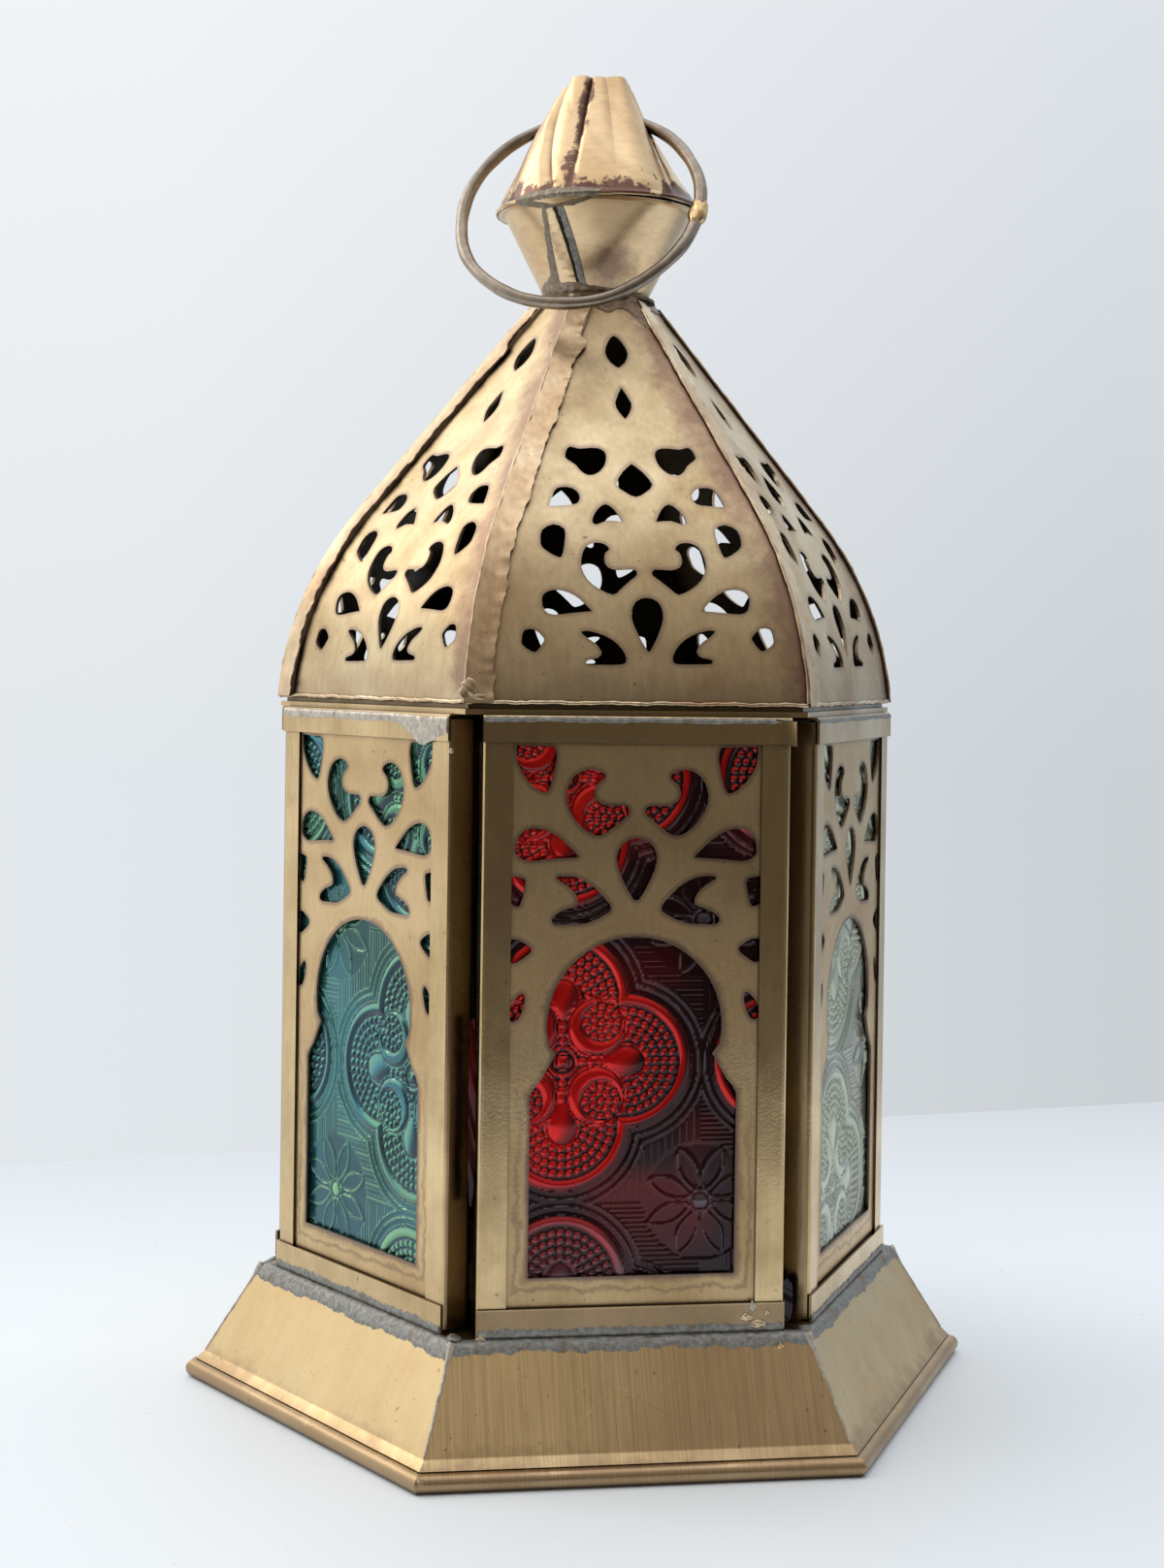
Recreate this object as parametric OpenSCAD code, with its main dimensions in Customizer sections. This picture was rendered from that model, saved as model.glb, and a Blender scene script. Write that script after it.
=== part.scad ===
// Hexagonal brass lantern with pierced panels, pressed glass, a hinged door and a carrying ring.
// Millimetres, +Z up. The origin is the middle of the footprint and the front panel faces -Y.

/* [Base] */
// Centre to the outside of the rolled bead, measured square to a side
base_apothem = 57.6; // [54:0.2:64]
// Centre to the upper edge of the sloping skirt
ledge_apothem = 46.9; // [46.6:0.1:50]
// Height of the ledge that the panels stand on
base_h = 18.6; // [14:0.2:26]
// How far the cove under the skirt runs out to the middle of the bead
cove_w = 1.2; // [0.6:0.1:4]
// Height of the foot of the sloping skirt, where the cove starts
skirt_foot_z = 4.3; // [3.6:0.1:6]
// Thickness of the rolled bead along the ground
bead_d = 3; // [2:0.1:3.4]
// How far the hem under the bead turns in
hem_w = 3.2; // [2:0.1:5]
// Width of the ledge that turns in at the top
ledge_w = 9; // [8:0.5:14]
// Sheet of the base and the floor
base_sheet = 0.6; // [0.4:0.1:1]

/* [Panels] */
// Centre to the outer face of the stiles
panel_apothem = 46; // [44:0.1:46.2]
// Width of one panel over its stiles
panel_w = 46.9; // [40:0.1:46.9]
// Height of the opening between the ledge and the eave
panel_h = 92.9; // [84:0.1:130]
// Depth of the folded stile channel
channel_depth = 5.2; // [4.8:0.1:6]
// Sheet of the folded channels
channel_sheet = 0.4; // [0.3:0.1:0.6]
// Radius of the folds in the channels
fold_r = 0.8; // [0.6:0.1:1]
// Visible width of a stile
stile_w = 4.5; // [3:0.1:6]
// Height of the top rail
top_rail_h = 4.1; // [3:0.1:6]
// Height of the bottom rail
bottom_rail_h = 4.5; // [3:0.1:6]
// Thickness of a glass pane
glass_t = 3.2; // [2:0.1:3.2]

/* [Pierced plates] */
// Sheet of the pierced plates
fret_sheet = 0.4; // [0.3:0.1:0.6]
// Radius of the round arch of the window
arch_r = 13.3; // [10:0.1:14.5]
// Edge of the top rail down to the middle of the arch
arch_drop = 42.3; // [42:0.1:60]
// Half the width of the waist under the arch
waist_half = 11.9; // [9:0.1:12.5]
// Middle of the arch down to the waist
waist_drop = 4.3; // [4:0.1:6]
// Half the width of the window under the waist
window_half = 15.7; // [13:0.1:16.5]
// Middle of the arch down to the end of the shoulder
shoulder_drop = 10.4; // [8:0.1:14]
// Plate left between the window and the bottom rail
sill_h = 4.4; // [2:0.1:10]

/* [Roof] */
// Centre to the lower edge of the roof, measured square to a side
eave_apothem = 45.2; // [44:0.1:46]
// Lean of the roof from upright at its lower edge
eave_lean = 4; // [2:0.5:8]
// Lean of the straight upper slope from upright
slope_lean = 35.3; // [30:0.1:42]
// Radius of the curved lower part of the roof
roof_bend_r = 61; // [50:1:66]
// Centre to the top edge of the roof
neck_apothem = 8.6; // [8:0.1:10]
// Sheet of the roof
roof_sheet = 0.5; // [0.4:0.1:0.8]
// Width of the lapped seam along each hip
seam_w = 3.6; // [2:0.1:5]
// Extra thickness of the lapped seam
seam_sheet = 0.5; // [0.3:0.1:0.8]
// Thickness of the eave plate
eave_sheet = 0.8; // [0.5:0.1:1]
// Gap between the eave plate and the lower edge of the roof
eave_gap = 0.8; // [0.4:0.1:1]

/* [Finial] */
// Radius of the lower end of the cup
cup_foot_r = 8.6; // [8:0.1:10]
// Radius of the rim where cup and crown meet
rim_r = 16.8; // [14:0.1:17.2]
// Height of the cup
cup_h = 14.7; // [12:0.1:18]
// Height of the crown
crown_h = 22.8; // [18:0.1:28]
// Mean radius at the top of the crown
crown_top_r = 4.9; // [4.5:0.1:6]
// How far the flutes swing in and out at the top
flute_depth = 0.9; // [0.3:0.1:1.2]
// Sheet of the finial
finial_sheet = 0.5; // [0.4:0.1:0.7]
// Radius of the neck tube
neck_r = 7; // [6.5:0.1:7.2]

/* [Carrying ring] */
// Radius of the ring at the middle of its wire
ring_r = 20.1; // [19.8:0.1:21]
// Thickness of the wire
ring_wire_d = 2.1; // [1.6:0.1:2.4]
// Diameter of the two holes in the crown
ring_hole_d = 4.6; // [4.4:0.1:5]
// Height of the holes above the rim
ring_hole_rise = 13.6; // [13:0.1:14]
// Direction of the line through the two holes, seen from above
ring_turn = -22; // [-60:1:0]
// Lean of the ring from upright as it rests on the roof
ring_lean = 29.5; // [29:0.5:60]

/* [Door] */
// Clearance round the door
door_gap = 0.3; // [0.2:0.05:0.5]
// How far the hinge wire sits in from the corner where the faces of two panels would meet
hinge_inset = 1.1; // [0.2:0.1:1.6]
// Thickness of the hinge wire
hinge_wire_d = 1.6; // [1.2:0.1:1.8]
// Outside diameter of a hinge knuckle
knuckle_d = 3; // [2.8:0.1:3.2]
// Length of a hinge knuckle
knuckle_len = 7; // [5:0.5:12]
// Ends of the panel to the nearest knuckle
knuckle_inset = 11; // [8:0.5:24]
// Height of the door pull
pull_h = 7; // [5:0.5:10]
// How far the door pull stands out
pull_out = 5; // [4:0.5:8]

/* [Candle] */
// Inside radius of the candle cup
candle_r = 19.6; // [15:0.1:24]
// Height of the candle cup
candle_h = 6; // [4:0.5:12]
// Sheet of the candle cup
candle_sheet = 0.4; // [0.3:0.1:0.6]

/* [Hidden] */
SIDES = ["front", "front_right", "back_right", "back", "back_left", "front_left"];
DOOR_SIDE = 3;
function panel_name(i) = i == DOOR_SIDE ? "door" : str(SIDES[i], "_panel");
PANEL_PIECES = ["_stiles", "_top_rail", "_bottom_rail", "_fret", "_glass"];
$fn = 48;

BRASS = "#a58c58";
PALE_BRASS = "#cdb684";
DARK_BRASS = "#7c7263";
WIRE_BRASS = "#8a7665";
GLASS_COLOURS = ["#a80c14", "#a9c8a0", "#2f8a86"];

side_turn = 60;
half_turn = side_turn / 2;
cut_over = 1;
fit_gap = 0.1;
running_gap = 0.05;
mitre_gap = 0.2;
fold_steps = 3;
curve_steps = 2;
arch_steps = 12;
bend_steps = 8;
crown_steps = 48;
crown_rows = 8;
flutes = 6;

panel_top_z = base_h + panel_h;
rail_out = panel_apothem + channel_sheet;
rail_in = panel_apothem - channel_depth - channel_sheet;
fret_out = panel_apothem - channel_sheet;
glass_out = fret_out - fret_sheet - running_gap;
floor_apothem = rail_in - fit_gap - door_gap;
floor_top_z = base_h + base_sheet;

eave_plate_z = panel_top_z + eave_sheet;
roof_foot_z = eave_plate_z + eave_gap;
bend_end_apothem = eave_apothem - roof_bend_r * (cos(eave_lean) - cos(slope_lean));
bend_end_z = roof_foot_z + roof_bend_r * (sin(slope_lean) - sin(eave_lean));
roof_top_z = bend_end_z + (bend_end_apothem - neck_apothem) / tan(slope_lean);

cup_foot_z = roof_top_z + finial_sheet;
rim_z = cup_foot_z + cup_h;
ring_hole_z = rim_z + ring_hole_rise;
crown_wall_r = rim_r - (rim_r - crown_top_r) * ring_hole_rise / crown_h - finial_sheet / 2;
ring_drop = sqrt(pow(ring_r, 2) - pow(crown_wall_r, 2));

hinge_reach = panel_apothem / cos(half_turn) - hinge_inset;
hinge_at = hinge_reach * [sin(half_turn), -cos(half_turn)];

// Half the length of a hexagon's side at a given apothem
function half_side(apothem) = apothem * tan(half_turn);
function unit(v) = v / norm(v);
function left_of(v) = [-v[1], v[0]];
function reversed(list) = [for (i = [len(list) - 1:-1:0]) list[i]];

// The corner b of a line a-b-c, moved sideways by d with a mitre
function mitred(a, b, c, d) =
    let (n = left_of(unit(b - a)), m = unit(n + left_of(unit(c - b)))) b + m * d / (m * n);

// An open line moved to its left by d
function beside(line, d) =
    let (last = len(line) - 1) [
        line[0] + left_of(unit(line[1] - line[0])) * d,
        for (i = [1:last - 1]) mitred(line[i - 1], line[i], line[i + 1], d),
        line[last] + left_of(unit(line[last] - line[last - 1])) * d
    ];

// The section of a sheet whose one face is the line and whose other face is t to its left
function sheet_section(line, t) = concat(line, reversed(beside(line, t)));

// An open line with every inner corner bent to radius r
function bent(line, r) =
    let (last = len(line) - 1) [
        line[0],
        for (i = [1:last - 1])
            let (
                b = line[i],
                back = unit(line[i - 1] - b),
                on = unit(line[i + 1] - b),
                reach = r / tan(acos(back * on) / 2)
            )
            for (k = [0:fold_steps])
                let (s = k / fold_steps, a = b + back * reach, c = b + on * reach)
                    (1 - s) * (1 - s) * a + 2 * s * (1 - s) * b + s * s * c,
        line[last]
    ];

// A closed smooth outline through the given points. A point given twice is a sharp corner.
function smooth(points) =
    let (n = len(points)) [
        for (i = [0:n - 1])
            let (
                a = points[(i + n - 1) % n], b = points[i],
                c = points[(i + 1) % n], d = points[(i + 2) % n]
            )
            if (b != c)
                for (k = [0:curve_steps - 1])
                    let (s = k / curve_steps)
                        b + s * (c - a) / 2 + s * s * (a - 2.5 * b + 2 * c - d / 2)
                        + s * s * s * (1.5 * (b - c) + (d - a) / 2)
    ];

// One half of an outline that is mirrored about the middle line, as a whole outline
function both_halves(half) =
    concat(half, [for (i = [len(half) - 1:-1:0]) if (half[i][0] != 0) [-half[i][0], half[i][1]]]);

// Turns a piece made for the front to the given side
module at_side(i) {
    rotate(i * side_turn) children();
}

// Draws x as distance out from the centre and y as height, and makes it w wide, facing the front
module across_front(w) {
    rotate([90, 0, -90]) linear_extrude(w, center = true) children();
}

// Draws x to the right and y as height, and makes it t thick behind the given apothem
module facing_front(apothem, t) {
    translate([0, t - apothem, 0]) rotate([90, 0, 0]) linear_extrude(t) children();
}

// The sixth of the plan that belongs to the front, moved out from the centre by shift
module front_sector(reach, z0, z1, shift = 0) {
    translate([0, -shift, z0]) linear_extrude(z1 - z0)
        polygon([[0, 0], [-half_side(reach), -reach], [half_side(reach), -reach]]);
}

// Shapes of the cut-outs in a panel's plate. Each share is of half the plate's visible width,
// across from the middle and down from the top rail. All but the drop are mirrored.
fret_corner_shares = [
    [-.97, .02], [-.97, .02], [-.67, .03], [-.67, .03], [-.65, .12], [-.70, .35],
    [-.76, .39], [-.87, .31], [-.96, .16]
];
fret_curl_shares = [
    [-.26, .27], [-.29, .23], [-.39, .205], [-.51, .26], [-.57, .40], [-.54, .54], [-.44, .67],
    [-.33, .73], [-.24, .70], [-.14, .62], [-.06, .55], [-.09, .495], [-.23, .495],
    [-.32, .46], [-.35, .39], [-.32, .32]
];
fret_leaf_shares = [
    [-.97, .84], [-.94, .73], [-.85, .675], [-.72, .69], [-.59, .77], [-.46, .90], [-.46, .90],
    [-.68, .915], [-.87, .93], [-.95, .89]
];
fret_drop_shares = [
    [0, .75], [.11, .79], [.16, .89], [.14, 1.01], [.08, 1.14], [.025, 1.23], [0, 1.24]
];
fret_wing_shares = [
    [-.64, 1.07], [-.61, 1.05], [-.48, 1.06], [-.35, 1.13], [-.24, 1.24], [-.20, 1.31],
    [-.25, 1.355], [-.39, 1.42], [-.53, 1.43], [-.65, 1.43], [-.67, 1.38], [-.59, 1.32],
    [-.47, 1.275], [-.49, 1.19], [-.56, 1.12]
];
fret_nick_shares = [
    [[-1, 1.05], [-1, 1.05], [-.90, 1.07], [-.89, 1.12], [-.92, 1.26], [-.95, 1.29],
     [-1, 1.27], [-1, 1.27]],
    [[-1, 1.55], [-1, 1.55], [-.94, 1.55], [-.84, 1.61], [-.85, 1.66], [-.95, 1.73],
     [-1, 1.73], [-1, 1.73]],
    [[-.90, 1.97], [-.88, 2.03], [-.91, 2.14], [-.95, 2.19], [-1, 2.18], [-1, 2.09],
     [-.96, 2.02]]
];
shoulder_shares = [[0, 0], [.30, .30], [.58, .62], [.84, .80], [1, 1]];

// Shapes of the cut-outs in a roof panel, seen from straight in front. Each share is of half
// the length of the eave, across from the middle and up from the roof's lower edge.
roof_pair_shares = [
    [[-.395, .425], [-.345, .43], [-.25, .40], [-.18, .35], [-.14, .29], [-.14, .245],
     [-.185, .235], [-.28, .235], [-.365, .237], [-.365, .26], [-.305, .275], [-.28, .305],
     [-.31, .355], [-.36, .39]],
    [[-.74, .39], [-.725, .435], [-.665, .44], [-.61, .39], [-.62, .36], [-.66, .31],
     [-.705, .325], [-.74, .355]],
    [[-.615, .615], [-.59, .655], [-.53, .67], [-.455, .655], [-.39, .615], [-.325, .545],
     [-.325, .545], [-.44, .535], [-.55, .525], [-.60, .55]],
    [[-.195, .91], [-.22, .94], [-.275, .95], [-.335, .925], [-.365, .865], [-.37, .80],
     [-.34, .73], [-.275, .675], [-.195, .64], [-.15, .67], [-.085, .725], [-.045, .757],
     [-.06, .79], [-.16, .785], [-.215, .805], [-.23, .845], [-.22, .89]],
    [[-.60, .965], [-.585, 1.025], [-.515, 1.06], [-.45, 1.03], [-.457, .95], [-.473, .885],
     [-.495, .86], [-.555, .89], [-.595, .925]],
    [[-.28, 1.07], [-.275, 1.105], [-.24, 1.155], [-.19, 1.185], [-.14, 1.15], [-.10, 1.077],
     [-.10, 1.077], [-.19, 1.083], [-.255, 1.06]],
    [[-.53, 1.17], [-.53, 1.17], [-.49, 1.265], [-.445, 1.29], [-.38, 1.285], [-.34, 1.245],
     [-.35, 1.20], [-.39, 1.18]],
    [[-.40, 1.48], [-.39, 1.523], [-.362, 1.548], [-.31, 1.535], [-.254, 1.54], [-.196, 1.54],
     [-.158, 1.52], [-.15, 1.48], [-.17, 1.423], [-.215, 1.38], [-.27, 1.365], [-.315, 1.392],
     [-.342, 1.43], [-.38, 1.458]]
];
roof_middle_shares = [
    [[0, .623], [.065, .60], [.094, .535], [.085, .465], [.045, .375], [.013, .32], [0, .308]],
    [[0, 1.44], [0, 1.44], [.06, 1.39], [.11, 1.31], [.062, 1.26], [0, 1.23]],
    [[0, 1.94], [0, 1.94], [.05, 1.84], [.035, 1.777], [0, 1.73], [0, 1.73]],
    [[0, 2.296], [.045, 2.25], [.072, 2.177], [.046, 2.11], [0, 2.073], [0, 2.073]]
];
// The cut-outs stand to the right of the hip seam and lean a little with it
roof_fret_aside = seam_w / 2 + fit_gap;
roof_fret_lean = 1;

module base_plate(i) {
    bead_r = bead_d / 2;
    bead_apothem = base_apothem - bead_r;
    skirt = bent([
        [ledge_apothem - ledge_w, base_h], [ledge_apothem, base_h],
        [bead_apothem - cove_w, skirt_foot_z], [bead_apothem, bead_d]
    ], 2 * base_sheet);
    color(BRASS) at_side(i) intersection() {
        across_front(2 * base_apothem + cut_over) {
            polygon(sheet_section(skirt, -base_sheet));
            intersection() {
                translate([bead_apothem, bead_r - base_sheet / 4]) circle(bead_r);
                translate([bead_apothem - bead_r, 0]) square([bead_d, bead_d]);
            }
            translate([bead_apothem - hem_w, 0]) square([hem_w, base_sheet]);
        }
        front_sector(base_apothem + cut_over, -cut_over, base_h + cut_over);
    }
}

// The clear height of a panel. The door is lower by its clearance at both ends.
function panel_z0(i) = base_h + (i == DOOR_SIDE ? door_gap : 0);
function panel_z1(i) = panel_top_z - (i == DOOR_SIDE ? door_gap : 0);
function panel_half(i) = panel_w / 2 - (i == DOOR_SIDE ? door_gap : 0);

// The stiles end clear of the rounded folds of the two rails that hold them
module stiles(i) {
    half = panel_half(i);
    z0 = panel_z0(i) + fold_r;
    channel_in = panel_apothem - channel_depth;
    section = bent([
        [-half + stile_w, -channel_in], [-half, -channel_in],
        [-half, -panel_apothem], [-half + stile_w, -panel_apothem]
    ], fold_r);
    color(PALE_BRASS) at_side(i) for (side = [0, 1]) mirror([side, 0, 0])
        translate([0, 0, z0]) linear_extrude(panel_z1(i) - fold_r - z0)
            polygon(sheet_section(section, channel_sheet));
}

// A channel across the panel, with its web at z and its flanges h long, up or down
module rail(i, z, h) {
    section = bent([[rail_out, z + h], [rail_out, z], [rail_in, z], [rail_in, z + h]], fold_r);
    inward = h < 0 ? channel_sheet : -channel_sheet;
    color(PALE_BRASS) at_side(i) intersection() {
        across_front(2 * panel_half(i)) polygon(sheet_section(section, inward));
        front_sector(rail_out + cut_over, z - abs(h) - cut_over, z + abs(h) + cut_over, mitre_gap);
    }
}

module top_rail(i) {
    rail(i, panel_z1(i), -top_rail_h);
}

module bottom_rail(i) {
    rail(i, panel_z0(i), bottom_rail_h);
}

module window_outline(sill_z, arch_z) {
    waist = [waist_half, arch_z - waist_drop];
    shoulder = [window_half - waist_half, waist_drop - shoulder_drop];
    arch_end = -asin(waist_drop / arch_r) * 2 / 3;
    half = concat(
        [for (k = [0:arch_steps]) let (a = 90 + (arch_end - 90) * k / arch_steps)
            [arch_r * cos(a), arch_z + arch_r * sin(a)]],
        [for (s = shoulder_shares) waist + [s[0] * shoulder[0], s[1] * shoulder[1]]],
        [[window_half, sill_z]]
    );
    polygon(both_halves(half));
}

// The plate lies flat behind the channels' faces, its edges clear of the rounded folds
module fret(i) {
    plate_half = panel_half(i) - fold_r - fit_gap;
    z0 = panel_z0(i) + channel_sheet + fit_gap;
    z1 = panel_z1(i) - channel_sheet - fit_gap;
    rail_z = panel_z1(i) - top_rail_h;
    seen_half = panel_half(i) - stile_w;
    pairs = concat([fret_corner_shares, fret_curl_shares, fret_leaf_shares, fret_wing_shares],
        fret_nick_shares);
    color(BRASS) at_side(i) facing_front(fret_out, fret_sheet) difference() {
        translate([-plate_half, z0]) square([2 * plate_half, z1 - z0]);
        window_outline(panel_z0(i) + bottom_rail_h + sill_h, rail_z - arch_drop);
        translate([0, rail_z]) scale([seen_half, -seen_half]) {
            polygon(smooth(both_halves(fret_drop_shares)));
            for (side = [0, 1], shape = pairs) mirror([side, 0]) polygon(smooth(shape));
        }
    }
}

module glass(i) {
    half = panel_half(i) - channel_sheet - fit_gap;
    z0 = panel_z0(i) + channel_sheet;
    color(GLASS_COLOURS[i % len(GLASS_COLOURS)], 0.6) at_side(i)
        translate([-half, -glass_out, z0])
            cube([2 * half, glass_t, panel_z1(i) - channel_sheet - fit_gap - z0]);
}

function roof_line() = concat(
    [for (k = [0:bend_steps])
        let (lean = eave_lean + (slope_lean - eave_lean) * k / bend_steps) [
            eave_apothem - roof_bend_r * (cos(eave_lean) - cos(lean)),
            roof_foot_z + roof_bend_r * (sin(lean) - sin(eave_lean))
        ]],
    [[neck_apothem, roof_top_z]]
);

// A sheet bent to the given line, cut to the front's sixth of the roof up to the height z1
module roof_sheet_on(line, t, z1) {
    reach = eave_apothem + cut_over;
    intersection() {
        across_front(2 * reach) polygon(sheet_section(line, t));
        front_sector(reach, roof_foot_z - cut_over, z1);
    }
}

// All that lies outside the roof's line, from below its foot to above its top
function outside_roof() =
    let (line = roof_line(), last = len(line) - 1, far = 2 * eave_apothem) [
        line[0] - cut_over * unit(line[1] - line[0]),
        for (k = [1:last - 1]) line[k],
        line[last] + cut_over * unit(line[last] - line[last - 1]),
        [far, roof_top_z + 2 * cut_over],
        [far, roof_foot_z - 2 * cut_over]
    ];

// A sixth of the roof. The seam strip is a second layer that is cut away beside the left edge.
module roof_panel(i) {
    reach = eave_apothem + cut_over;
    color(BRASS) at_side(i) difference() {
        roof_sheet_on(beside(roof_line(), -seam_sheet), seam_sheet + roof_sheet, roof_top_z + cut_over);
        intersection() {
            across_front(4 * reach) polygon(outside_roof());
            union() {
                translate([seam_w, 0, 0])
                    front_sector(2 * reach, roof_foot_z - cut_over, roof_top_z + cut_over);
                translate([0, 0, roof_top_z - seam_sheet]) cylinder(r = 2 * reach, h = 2 * cut_over);
            }
        }
        facing_front(2 * reach, 2 * reach) translate([roof_fret_aside, roof_foot_z])
            rotate(roof_fret_lean) scale(half_side(eave_apothem)) {
                for (shape = roof_middle_shares) polygon(smooth(both_halves(shape)));
                for (side = [0, 1], shape = roof_pair_shares)
                    mirror([side, 0]) polygon(smooth(shape));
            }
    }
}

module floor_plate() {
    color(DARK_BRASS) translate([0, 0, base_h])
        linear_extrude(base_sheet) circle(floor_apothem / cos(half_turn), $fn = 6);
}

module candle_cup() {
    color(DARK_BRASS) translate([0, 0, floor_top_z]) difference() {
        cylinder(h = candle_h, r = candle_r + candle_sheet);
        translate([0, 0, candle_sheet]) cylinder(h = candle_h, r = candle_r);
    }
}

// A hexagonal band between two apothems
module hexagon_band(outer, inner, h) {
    linear_extrude(h) difference() {
        circle(outer / cos(half_turn), $fn = 6);
        circle(inner / cos(half_turn), $fn = 6);
    }
}

// The plate on top of the panels, and the band standing on it that the roof fits over
module eave_ring() {
    band_h = eave_gap + 4 * eave_sheet;
    band_lean = tan(eave_lean) * band_h;
    band_out = eave_apothem - roof_sheet - band_lean - fit_gap;
    color(PALE_BRASS) {
        translate([0, 0, panel_top_z])
            hexagon_band(eave_apothem, rail_in - eave_sheet, eave_sheet);
        translate([0, 0, eave_plate_z]) hexagon_band(band_out, band_out - roof_sheet, band_h);
    }
}

// A tube through the top of the roof, with a flange under the cup
module neck_collar() {
    tube_below = cup_foot_r / 3;
    color(DARK_BRASS) rotate_extrude() {
        translate([neck_r - finial_sheet, roof_top_z - tube_below])
            square([finial_sheet, tube_below + 3 * finial_sheet]);
        translate([neck_r - finial_sheet, roof_top_z])
            square([neck_apothem / cos(half_turn) - neck_r + finial_sheet, finial_sheet]);
    }
}

module finial_cup() {
    line = [
        [neck_r + fit_gap, cup_foot_z], [cup_foot_r, cup_foot_z],
        [rim_r - 2 * finial_sheet, rim_z - finial_sheet], [rim_r, rim_z - finial_sheet]
    ];
    color(PALE_BRASS) rotate_extrude() polygon(sheet_section(line, finial_sheet));
}

// A point on the crown, where s runs from 0 at the rim to 1 at the top. The flutes grow upward.
function crown_point(a, s, inset) =
    let (
        r = rim_r - (rim_r - crown_top_r) * s - inset
            + flute_depth * s * sqrt(s) * cos(flutes * (a - ring_turn))
    )
    [r * cos(a), r * sin(a), rim_z + crown_h * s];

function two_triangles(a, b, c, d) = [[a, b, c], [a, c, d]];

module finial_crown() {
    skin = [
        for (inset = [0, finial_sheet]) for (k = [0:crown_rows]) for (j = [0:crown_steps - 1])
            crown_point(j * 360 / crown_steps, k / crown_rows, inset)
    ];
    // Numbers of the skin's points: row k, step j, on the outer and on the inner face
    function outer(k, j) = k * crown_steps + j % crown_steps;
    function inner(k, j) = (crown_rows + 1) * crown_steps + outer(k, j);
    walls = [for (k = [0:crown_rows - 1], j = [0:crown_steps - 1]) each concat(
        two_triangles(outer(k, j), outer(k + 1, j), outer(k + 1, j + 1), outer(k, j + 1)),
        two_triangles(inner(k, j), inner(k, j + 1), inner(k + 1, j + 1), inner(k + 1, j))
    )];
    edges = [for (j = [0:crown_steps - 1]) each concat(
        two_triangles(outer(0, j), outer(0, j + 1), inner(0, j + 1), inner(0, j)),
        two_triangles(outer(crown_rows, j), inner(crown_rows, j),
            inner(crown_rows, j + 1), outer(crown_rows, j + 1))
    )];
    color(PALE_BRASS) difference() {
        polyhedron(skin, concat(walls, edges));
        translate([0, 0, ring_hole_z]) rotate([0, 90, ring_turn])
            cylinder(h = 2 * rim_r, d = ring_hole_d, center = true);
    }
}

// The ring's wire is closed by a lump of braze
module ring_handle() {
    braze_r = 0.7 * ring_wire_d;
    color(WIRE_BRASS) translate([0, 0, ring_hole_z]) rotate(ring_turn)
        rotate([-ring_lean, 0, 0]) translate([0, 0, -ring_drop]) rotate([90, 0, 0]) {
            rotate_extrude() translate([ring_r, 0]) circle(d = ring_wire_d);
            translate([ring_r, 0, 0]) sphere(braze_r);
        }
}

// The knuckles from the panel's ends inward: the frame's are the outer ones
module knuckles(first) {
    z0 = panel_z0(DOOR_SIDE) + knuckle_inset + first * (knuckle_len + door_gap);
    z1 = panel_z1(DOOR_SIDE) - knuckle_inset - first * (knuckle_len + door_gap) - knuckle_len;
    for (z = [z0, z1]) translate([hinge_at[0], hinge_at[1], z]) difference() {
        union() {
            cylinder(h = knuckle_len, d = knuckle_d);
            children();
        }
        translate([0, 0, -cut_over])
            cylinder(h = knuckle_len + 2 * cut_over, r = hinge_wire_d / 2 + running_gap);
    }
}

// The leaf that joins a knuckle to the side of the stile beside it
module hinge_leaf(gap) {
    leaf_t = channel_sheet;
    reach = hinge_at[0] - panel_w / 2 + gap;
    translate([-reach, knuckle_d / 2 - leaf_t, 0]) cube([reach, leaf_t, knuckle_len]);
}

module hinge_knuckles_door() {
    color(DARK_BRASS) at_side(DOOR_SIDE) knuckles(1) hinge_leaf(door_gap);
}

module hinge_knuckles_frame() {
    color(DARK_BRASS) at_side(DOOR_SIDE) knuckles(0)
        rotate(side_turn) mirror([1, 0, 0]) hinge_leaf(0);
}

module hinge_pin() {
    z0 = panel_z0(DOOR_SIDE) + knuckle_inset;
    z1 = panel_z1(DOOR_SIDE) - knuckle_inset;
    head_h = hinge_wire_d / 3;
    color(WIRE_BRASS) at_side(DOOR_SIDE) translate([hinge_at[0], hinge_at[1], 0]) {
        translate([0, 0, z0 - head_h]) cylinder(h = z1 - z0 + 2 * head_h, d = hinge_wire_d);
        for (z = [z0 - head_h, z1]) translate([0, 0, z])
            cylinder(h = head_h, d = (hinge_wire_d + knuckle_d) / 2);
    }
}

// A round-ended tab that stands out from a foot on the door's free stile
module door_pull() {
    foot_w = stile_w * 2 / 3;
    middle = (panel_z0(DOOR_SIDE) + panel_z1(DOOR_SIDE)) / 2;
    color(DARK_BRASS) at_side(DOOR_SIDE)
        translate([stile_w / 2 - panel_half(DOOR_SIDE), -panel_apothem, middle]) {
            translate([-foot_w / 2, -channel_sheet, -pull_h / 2]) cube([foot_w, channel_sheet, pull_h]);
            rotate([90, 0, -90]) linear_extrude(channel_sheet, center = true) intersection() {
                translate([pull_out - pull_h / 2, 0]) circle(d = pull_h);
                translate([0, -pull_h / 2]) square([pull_out, pull_h]);
            }
        }
}

for (i = [0:5]) base_plate(i);
for (i = [0:5]) stiles(i);
for (i = [0:5]) top_rail(i);
for (i = [0:5]) bottom_rail(i);
for (i = [0:5]) fret(i);
for (i = [0:5]) glass(i);
for (i = [0:5]) roof_panel(i);
floor_plate();
candle_cup();
eave_ring();
neck_collar();
finial_cup();
finial_crown();
ring_handle();
hinge_knuckles_frame();
hinge_knuckles_door();
hinge_pin();
door_pull();
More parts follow.
